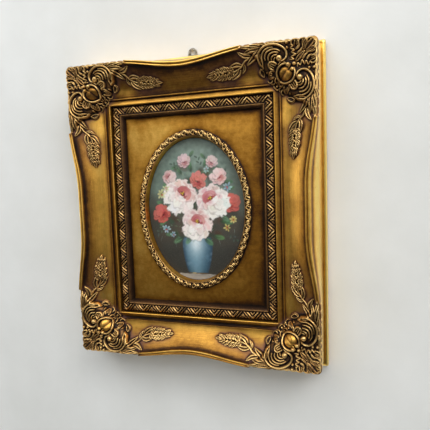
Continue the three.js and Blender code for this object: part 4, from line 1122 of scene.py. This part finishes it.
# ------------------------------------------------------------------ hanging eye
def hanger_pieces():
    cu = bpy.data.curves.new("hanging_eye", "CURVE")
    cu.dimensions = "2D"
    cu.fill_mode = "BOTH"
    cu.extrude = 0.00052
    cu.bevel_depth = 0.00028
    cu.bevel_resolution = 2
    top = ZC + HH
    foot, shoulder = top - 20.0 + 0.35, top - 2.0

    def poly(pts):
        sp = cu.splines.new("POLY")
        sp.points.add(len(pts) - 1)
        for p, (x, z) in zip(sp.points, pts):
            p.co = (x / 1000, z / 1000, 0, 1)
        sp.use_cyclic_u = True

    w = 8.0 - 0.35
    out = [(-w + 1.6, foot), (w - 1.6, foot), (w - 0.5, foot + 0.5), (w, foot + 1.6), (w, shoulder - 1.2), (w - 0.4, shoulder - 0.3), (w - 1.4, shoulder + 0.3)]
    r = 5.6 - 0.3
    for k in range(29):
        an = math.radians(lerp(12, 168, k / 28))
        out.append((r * math.cos(an), -3.0 + r * math.sin(an)))
    out += [(-w + 1.4, shoulder + 0.3), (-w + 0.4, shoulder - 0.3), (-w, shoulder - 1.2), (-w, foot + 1.6), (-w + 0.5, foot + 0.5)]
    poly(out)
    for (x, z, rr, n) in ((0, -3.0, 3.0 + 0.25, 36), (-4.6, top - 11.0, 1.2, 16), (4.6, top - 11.0, 1.2, 16)):
        poly([(x + rr * math.cos(2 * math.pi * k / n), z + rr * math.sin(2 * math.pi * k / n)) for k in range(n)])
    ob = bpy.data.objects.new("tmp_eye", cu)
    bpy.context.scene.collection.objects.link(ob)
    # drawn in its own XY plane: x -> X, y -> Z, thickness along Y
    ob.matrix_world = Matrix(((1, 0, 0, 0), (0, 0, -1, -0.0010), (0, 1, 0, 0), (0, 0, 0, 1)))
    bpy.context.view_layer.update()
    dg = bpy.context.evaluated_depsgraph_get()
    me = bpy.data.meshes.new_from_object(ob.evaluated_get(dg))
    me.transform(ob.matrix_world)
    bpy.data.objects.remove(ob)
    me.name = "hanging_eye"
    eye = bpy.data.objects.new("hanging_eye", me)
    bpy.context.scene.collection.objects.link(eye)
    for p in me.polygons:
        p.use_smooth = False
    heads = []
    for sgn, nm in ((-1, "nail_left"), (1, "nail_right")):
        V, Q = [], []
        prof = [(0.0, 0.02), (0.9, 0.05), (1.5, 0.12), (1.75, 0.22), (1.6, 0.3), (1.05, 0.34), (1.05, 1.9), (0.0, 2.0)]
        n = 20
        for (rr, y) in prof:
            for k in range(n):
                an = 2 * math.pi * k / n
                V.append((sgn * 4.6 + max(rr, 0.02) * math.cos(an), -y, top - 11.0 + max(rr, 0.02) * math.sin(an)))
        for i in range(len(prof) - 1):
            for k in range(n):
                Q.append((i * n + k, i * n + (k + 1) % n, (i + 1) * n + (k + 1) % n, (i + 1) * n + k))
        caps = [list(range(n))[::-1], [(len(prof) - 1) * n + k for k in range(n)]]
        heads.append(make_mesh(nm, np.array(V), np.array(Q), caps))
    return eye, heads


eye, nails = hanger_pieces()


# ------------------------------------------------------------------ materials
def material(name):
    m = bpy.data.materials.new(name)
    m.use_nodes = True
    nt = m.node_tree
    nt.nodes.clear()
    out = nt.nodes.new("ShaderNodeOutputMaterial")
    bsdf = nt.nodes.new("ShaderNodeBsdfPrincipled")
    nt.links.new(bsdf.outputs[0], out.inputs[0])
    return m, nt, bsdf


class Kit:
    def __init__(self, nt):
        self.nt = nt

    def node(self, kind, **kw):
        n = self.nt.nodes.new(kind)
        for k, v in kw.items():
            setattr(n, k, v)
        return n

    def link(self, a, b):
        self.nt.links.new(a, b)

    def put(self, sock, v):
        if hasattr(v, "node"):
            self.link(v, sock)
        else:
            sock.default_value = v

    def attr(self, name, out="Fac"):
        n = self.node("ShaderNodeAttribute", attribute_name=name, attribute_type="GEOMETRY")
        return n.outputs[out]

    def math(self, op, a, b=None, clamp=False):
        n = self.node("ShaderNodeMath", operation=op, use_clamp=clamp)
        self.put(n.inputs[0], a)
        if b is not None:
            self.put(n.inputs[1], b)
        return n.outputs[0]

    def noise(self, vec, scale, detail=4.0, rough=0.55, dist=0.0):
        n = self.node("ShaderNodeTexNoise")
        self.put(n.inputs["Vector"], vec)
        n.inputs["Scale"].default_value = scale
        n.inputs["Detail"].default_value = detail
        n.inputs["Roughness"].default_value = rough
        n.inputs["Distortion"].default_value = dist
        return n.outputs["Fac"]

    def scaled(self, vec, sx, sy, sz):
        n = self.node("ShaderNodeVectorMath", operation="MULTIPLY")
        self.put(n.inputs[0], vec)
        n.inputs[1].default_value = (sx, sy, sz)
        return n.outputs[0]

    def range(self, v, a, b, c, d):
        n = self.node("ShaderNodeMapRange")
        n.clamp = True
        self.put(n.inputs[0], v)
        for k, x in enumerate((a, b, c, d)):
            n.inputs[k + 1].default_value = x
        return n.outputs[0]

    def ramp(self, v, stops):
        n = self.node("ShaderNodeValToRGB")
        self.put(n.inputs[0], v)
        el = n.color_ramp.elements
        while len(el) < len(stops):
            el.new(0.5)
        for e, (p, c) in zip(el, stops):
            e.position = p
            e.color = tuple(lin(c)) + (1,)
        return n.outputs[0]

    def mix(self, f, a, b, blend="MIX"):
        n = self.node("ShaderNodeMix", data_type="RGBA", blend_type=blend)
        self.put(n.inputs[0], f)
        for s, v in ((n.inputs[6], a), (n.inputs[7], b)):
            if hasattr(v, "node"):
                self.link(v, s)
            else:
                s.default_value = tuple(v) + (1,)
        return n.outputs[2]

    def bump(self, height, strength, distance):
        n = self.node("ShaderNodeBump")
        n.inputs["Strength"].default_value = strength
        n.inputs["Distance"].default_value = distance
        self.put(n.inputs["Height"], height)
        return n.outputs[0]


def gilt(name, plain, worked, umber=(106, 68, 56), blotch=0.34, stain=0.26, metallic=(0.72, 1.0), rough=(0.58, 0.36), streak=0.34, wood=(70, 46, 28)):
    m, nt, bsdf = material(name)
    k = Kit(nt)
    obj = k.node("ShaderNodeTexCoord").outputs["Object"]
    flow = k.attr("flow", "Vector")
    tone, halo, work, bare = k.attr("tone"), k.attr("halo"), k.attr("work"), k.attr("bare")
    fine = k.noise(obj, 900, 5, 0.6)
    mid = k.noise(obj, 170, 4, 0.6, 0.4)
    big = k.noise(obj, 34, 3, 0.5, 0.3)
    brush = k.noise(k.scaled(flow, 0.035, 0.9, 0.9), 1.0, 5, 0.62, 0.6)
    v = k.math("ADD", tone, k.math("MULTIPLY", k.math("SUBTRACT", brush, 0.5), streak))
    v = k.math("ADD", v, k.math("MULTIPLY", k.math("SUBTRACT", mid, 0.5), stain))
    v = k.math("ADD", v, k.math("MULTIPLY", k.math("SUBTRACT", big, 0.5), blotch))
    v = k.math("ADD", v, k.math("MULTIPLY", k.math("SUBTRACT", fine, 0.5), 0.18), clamp=True)
    col = k.mix(work, k.ramp(v, plain), k.ramp(v, worked))
    speck = k.range(k.noise(obj, 620, 3, 0.7), 0.60, 0.72, 0, 0.55)
    col = k.mix(k.math("MULTIPLY", speck, k.range(tone, 0.1, 0.6, 0.8, 0.25)), col, lin((58, 36, 18)))
    hal = k.math("MULTIPLY", halo, k.range(mid, 0.3, 0.7, 0.45, 0.95))
    col = k.mix(k.math("MULTIPLY", hal, 0.85), col, lin(umber))
    woodcol = k.ramp(k.noise(k.scaled(flow, 0.02, 0.6, 0.6), 1.0, 6, 0.6, 1.2), [(0.2, tuple(np.array(wood) * 0.6)), (0.55, wood), (0.85, tuple(np.array(wood) * 1.5))])
    bare_edge = k.range(k.math("ADD", bare, k.math("MULTIPLY", k.math("SUBTRACT", mid, 0.5), 0.3)), 0.35, 0.6, 0, 1)
    col = k.mix(bare_edge, col, woodcol)
    k.link(col, bsdf.inputs["Base Color"])
    met = k.math("MULTIPLY", k.range(v, 0.05, 0.5, metallic[0], metallic[1]), k.math("SUBTRACT", 1.0, bare_edge))
    met = k.math("MULTIPLY", met, k.range(hal, 0.2, 0.9, 1.0, 0.6))
    k.link(met, bsdf.inputs["Metallic"])
    ro = k.math("ADD", k.range(v, 0.05, 0.85, rough[0], rough[1]), k.math("MULTIPLY", k.math("SUBTRACT", mid, 0.5), 0.18))
    ro = k.math("ADD", ro, k.math("MULTIPLY", bare_edge, 0.3))
    ro = k.math("SUBTRACT", ro, k.math("MULTIPLY", k.attr("sleek"), 0.05), clamp=True)
    k.link(ro, bsdf.inputs["Roughness"])
    h = k.math("ADD", k.math("MULTIPLY", fine, 0.35), k.math("ADD", k.math("MULTIPLY", mid, 0.8), k.math("MULTIPLY", brush, 0.5)))
    k.link(k.bump(h, 0.30, 0.0003), bsdf.inputs["Normal"])
    return m


GOLD = [(0.0, (18, 9, 4)), (0.2, (70, 42, 16)), (0.42, (147, 103, 44)), (0.62, (204, 153, 69)), (0.82, (240, 186, 86)), (1.0, (252, 221, 126))]
BRONZE = [(0.0, (16, 10, 8)), (0.22, (56, 39, 28)), (0.46, (118, 86, 52)), (0.72, (184, 142, 84)), (1.0, (242, 206, 136))]
PANEL = [(0.0, (26, 13, 4)), (0.25, (82, 49, 14)), (0.5, (151, 103, 37)), (0.75, (203, 148, 61)), (1.0, (240, 190, 94))]
mat_outer = gilt("gilt_outer", GOLD, BRONZE)
mat_inner = gilt("gilt_inner", BRONZE, BRONZE, streak=0.10, blotch=0.2)
mat_slip = gilt("gilt_slip", PANEL, BRONZE, streak=0.16, blotch=0.62, stain=0.38)


def paint_material():
    m, nt, bsdf = material("oil_paint")
    k = Kit(nt)
    obj = k.node("ShaderNodeTexCoord").outputs["Object"]
    col = k.node("ShaderNodeAttribute", attribute_name="paint", attribute_type="GEOMETRY").outputs["Color"]
    fine = k.noise(obj, 1500, 4, 0.6)
    mid = k.noise(obj, 260, 4, 0.6)
    col = k.mix(k.math("MULTIPLY", k.range(mid, 0.35, 0.75, 0, 1), 0.14), col, lin((58, 50, 42)))
    col = k.mix(k.math("MULTIPLY", k.range(fine, 0.55, 0.8, 0, 1), 0.10), col, lin((220, 210, 190)))
    bare = k.attr("bare")
    wood = k.ramp(k.noise(k.scaled(obj, 6.0, 1.0, 60.0), 8.0, 5, 0.6, 0.8), [(0.2, (86, 62, 40)), (0.6, (120, 90, 60)), (0.9, (146, 114, 80))])
    col = k.mix(bare, col, wood)
    k.link(col, bsdf.inputs["Base Color"])
    k.link(k.range(mid, 0.3, 0.7, 0.42, 0.56), bsdf.inputs["Roughness"])
    k.link(k.bump(k.math("ADD", k.math("MULTIPLY", fine, 0.4), mid), 0.25, 0.00025), bsdf.inputs["Normal"])
    bsdf.inputs["Specular IOR Level"].default_value = 0.4
    return m


def metal_material(name, light, dark, rough):
    m, nt, bsdf = material(name)
    k = Kit(nt)
    obj = k.node("ShaderNodeTexCoord").outputs["Object"]
    n1 = k.noise(obj, 420, 5, 0.65, 0.3)
    n2 = k.noise(k.scaled(obj, 1, 1, 9), 260, 4, 0.6)
    col = k.ramp(k.math("ADD", k.math("MULTIPLY", n1, 0.7), k.math("MULTIPLY", n2, 0.3)), [(0.32, dark), (0.5, tuple((np.array(light) + np.array(dark)) / 2)), (0.68, light)])
    k.link(col, bsdf.inputs["Base Color"])
    bsdf.inputs["Metallic"].default_value = 0.95
    k.link(k.range(n1, 0.3, 0.7, rough, rough + 0.22), bsdf.inputs["Roughness"])
    k.link(k.bump(n2, 0.2, 0.0001), bsdf.inputs["Normal"])
    return m


mat_paint = paint_material()
mat_tin = metal_material("tinned_plate", (204, 198, 182), (78, 64, 46), 0.22)
mat_nail = metal_material("nail_steel", (150, 146, 138), (84, 76, 66), 0.35)

for o in pieces_outer:
    o.data.materials.append(mat_outer)
    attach(o, "root")
    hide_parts("outer_frame")
for o, mt, slot, node in ((liner, mat_inner, "inner_frame", "inner_frame"), (slip, mat_slip, "oval_slip", "oval_slip"),
                          (painting, mat_paint, "painting", "painting"), (eye, mat_tin, "hanger", "hanger")):
    o.data.materials.append(mt)
    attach(o, "root")
    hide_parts(node)
for o in nails:
    o.data.materials.append(mat_nail)
    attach(o, "root")


# ------------------------------------------------------------------ stage, light and camera
def plane(name, corners):
    me = bpy.data.meshes.new(name)
    me.from_pydata(corners, [], [(0, 1, 2, 3)])
    ob = bpy.data.objects.new(name, me)
    bpy.context.scene.collection.objects.link(ob)
    return ob


def plaster():
    m, nt, bsdf = material("pale_wall")
    k = Kit(nt)
    obj = k.node("ShaderNodeTexCoord").outputs["Object"]
    n = k.noise(obj, 9, 5, 0.55)
    f = k.noise(obj, 240, 4, 0.6)
    col = k.ramp(n, [(0.3, (221, 222, 219)), (0.7, (231, 232, 230))])
    k.link(col, bsdf.inputs["Base Color"])
    bsdf.inputs["Roughness"].default_value = 0.9
    k.link(k.bump(f, 0.12, 0.0006), bsdf.inputs["Normal"])
    # seen from behind it is left open, so that the back of the picture can be looked at
    geo = k.node("ShaderNodeNewGeometry")
    clear = k.node("ShaderNodeBsdfTransparent")
    mixer = k.node("ShaderNodeMixShader")
    k.link(geo.outputs["Backfacing"], mixer.inputs[0])
    k.link(bsdf.outputs[0], mixer.inputs[1])
    k.link(clear.outputs[0], mixer.inputs[2])
    out = [x for x in nt.nodes if x.type == "OUTPUT_MATERIAL"][0]
    k.link(mixer.outputs[0], out.inputs[0])
    return m


wall = plane("wall", [(-5.0, 0.0012, -1.4), (5.0, 0.0012, -1.4), (5.0, 0.0012, 2.4), (-5.0, 0.0012, 2.4)])
floor = plane("floor", [(-1.2, -0.7, -1.4), (1.2, -0.7, -1.4), (1.2, 0.0012, -1.4), (-1.2, 0.0012, -1.4)])
mat_wall = plaster()
wall.data.materials.append(mat_wall)
floor.data.materials.append(mat_wall)
wall.visible_shadow = False


SKY = ((-1.0, 0.02), (-0.40, 0.02), (-0.20, 0.03), (0.02, 0.05), (0.30, 0.05), (1.0, 0.05))


def area(name, at, look, size, power, colour=(1, 1, 1), size_y=None):
    li = bpy.data.lights.new(name, "AREA")
    li.shape = "RECTANGLE"
    li.size = size
    li.size_y = size_y or size
    li.energy = power
    li.color = colour
    ob = bpy.data.objects.new(name, li)
    bpy.context.scene.collection.objects.link(ob)
    from mathutils import Vector
    z = (Vector(at) - Vector(look)).normalized()
    x = Vector((0, 0, 1)).cross(z)
    x = x.normalized() if x.length > 1e-4 else Vector((1, 0, 0))
    y = z.cross(x)
    ob.matrix_world = Matrix(((x.x, y.x, z.x, at[0]), (x.y, y.y, z.y, at[1]), (x.z, y.z, z.z, at[2]), (0, 0, 0, 1)))
    return ob


area("soft_key", (-0.10, -1.60, 1.65), (0, 0, -0.2), 2.6, 24, (0.98, 0.995, 1.0), 1.7)
area("soft_high_left", (-1.3, -1.2, 1.4), (0, 0, -0.2), 1.2, 13, (0.98, 0.995, 1.0))
area("soft_high_right", (1.3, -1.2, 1.4), (0, 0, -0.2), 1.2, 32, (1.0, 0.99, 0.97))
area("soft_high_far", (0, -2.8, 1.2), (0, 0, -0.2), 2.0, 19, (0.99, 1.0, 1.0), 1.0)
area("soft_left", (-1.9, -0.3, -0.1), (0, 0, -0.2), 1.0, 8, (0.98, 0.995, 1.0), 0.6)
area("soft_front_left", (-0.66, -2.0, -0.10), (0, 0, -0.2), 1.1, 2.2, (1.0, 1.0, 1.0), 0.9)
area("soft_right", (1.8, -0.35, 0.0), (0, 0, -0.2), 1.0, 4.5, (1.0, 0.985, 0.95), 0.6)
area("soft_front_right", (1.3, -1.9, -0.2), (0, 0, -0.2), 1.2, 1.3, (1.0, 0.99, 0.96))
area("soft_behind", (0.3, 1.6, 0.5), (0, 0, -0.2), 1.4, 34, (1.0, 1.0, 1.0))
world = bpy.data.worlds.new("studio")
bpy.context.scene.world = world
world.use_nodes = True
world.node_tree.nodes.clear()
wk = Kit(world.node_tree)
w_out = wk.node("ShaderNodeOutputWorld")
bg = wk.node("ShaderNodeBackground")
wk.link(bg.outputs[0], w_out.inputs[0])
bg.inputs[0].default_value = (0.96, 0.98, 1.0, 1)
# a pale room above the eye line, a dark one below it
sky = wk.node("ShaderNodeSeparateXYZ")
wk.link(wk.node("ShaderNodeTexCoord").outputs["Generated"], sky.inputs[0])
level = wk.node("ShaderNodeValToRGB")
wk.link(wk.range(sky.outputs[2], -1.0, 1.0, 0.0, 1.0), level.inputs[0])
level.color_ramp.interpolation = "EASE"
while len(level.color_ramp.elements) < len(SKY):
    level.color_ramp.elements.new(0.5)
for e, (z, value) in zip(level.color_ramp.elements, SKY):
    e.position = (z + 1) / 2
    e.color = (value, value, value, 1)
wk.link(level.outputs[0], bg.inputs[1])

cam_data = bpy.data.cameras.new("camera")
cam_data.sensor_fit = "HORIZONTAL"
cam_data.sensor_width = 36.0
cam_data.lens = 427.9 / 430.0 * 36.0
cam_data.clip_start = 0.01
cam_data.clip_end = 20
cam = bpy.data.objects.new("camera", cam_data)
bpy.context.scene.collection.objects.link(cam)
R = ((0.95248658, 0.03340509, 0.30274316), (-0.00387451, 0.99521587, -0.09762356), (-0.30455592, 0.09181215, 0.94805919))
# rows of R are the camera's right, down and forward directions in (x, -z, -d)
right = (R[0][0], R[0][2], -R[0][1])
down = (R[1][0], R[1][2], -R[1][1])
fwd = (R[2][0], R[2][2], -R[2][1])
cam.matrix_world = Matrix(((right[0], -down[0], -fwd[0], 0.183495), (right[1], -down[1], -fwd[1], -0.505767),
                           (right[2], -down[2], -fwd[2], (41.136 + ZC) / 1000.0), (0, 0, 0, 1)))
bpy.context.scene.camera = cam
bpy.context.scene.view_settings.view_transform = "Standard"
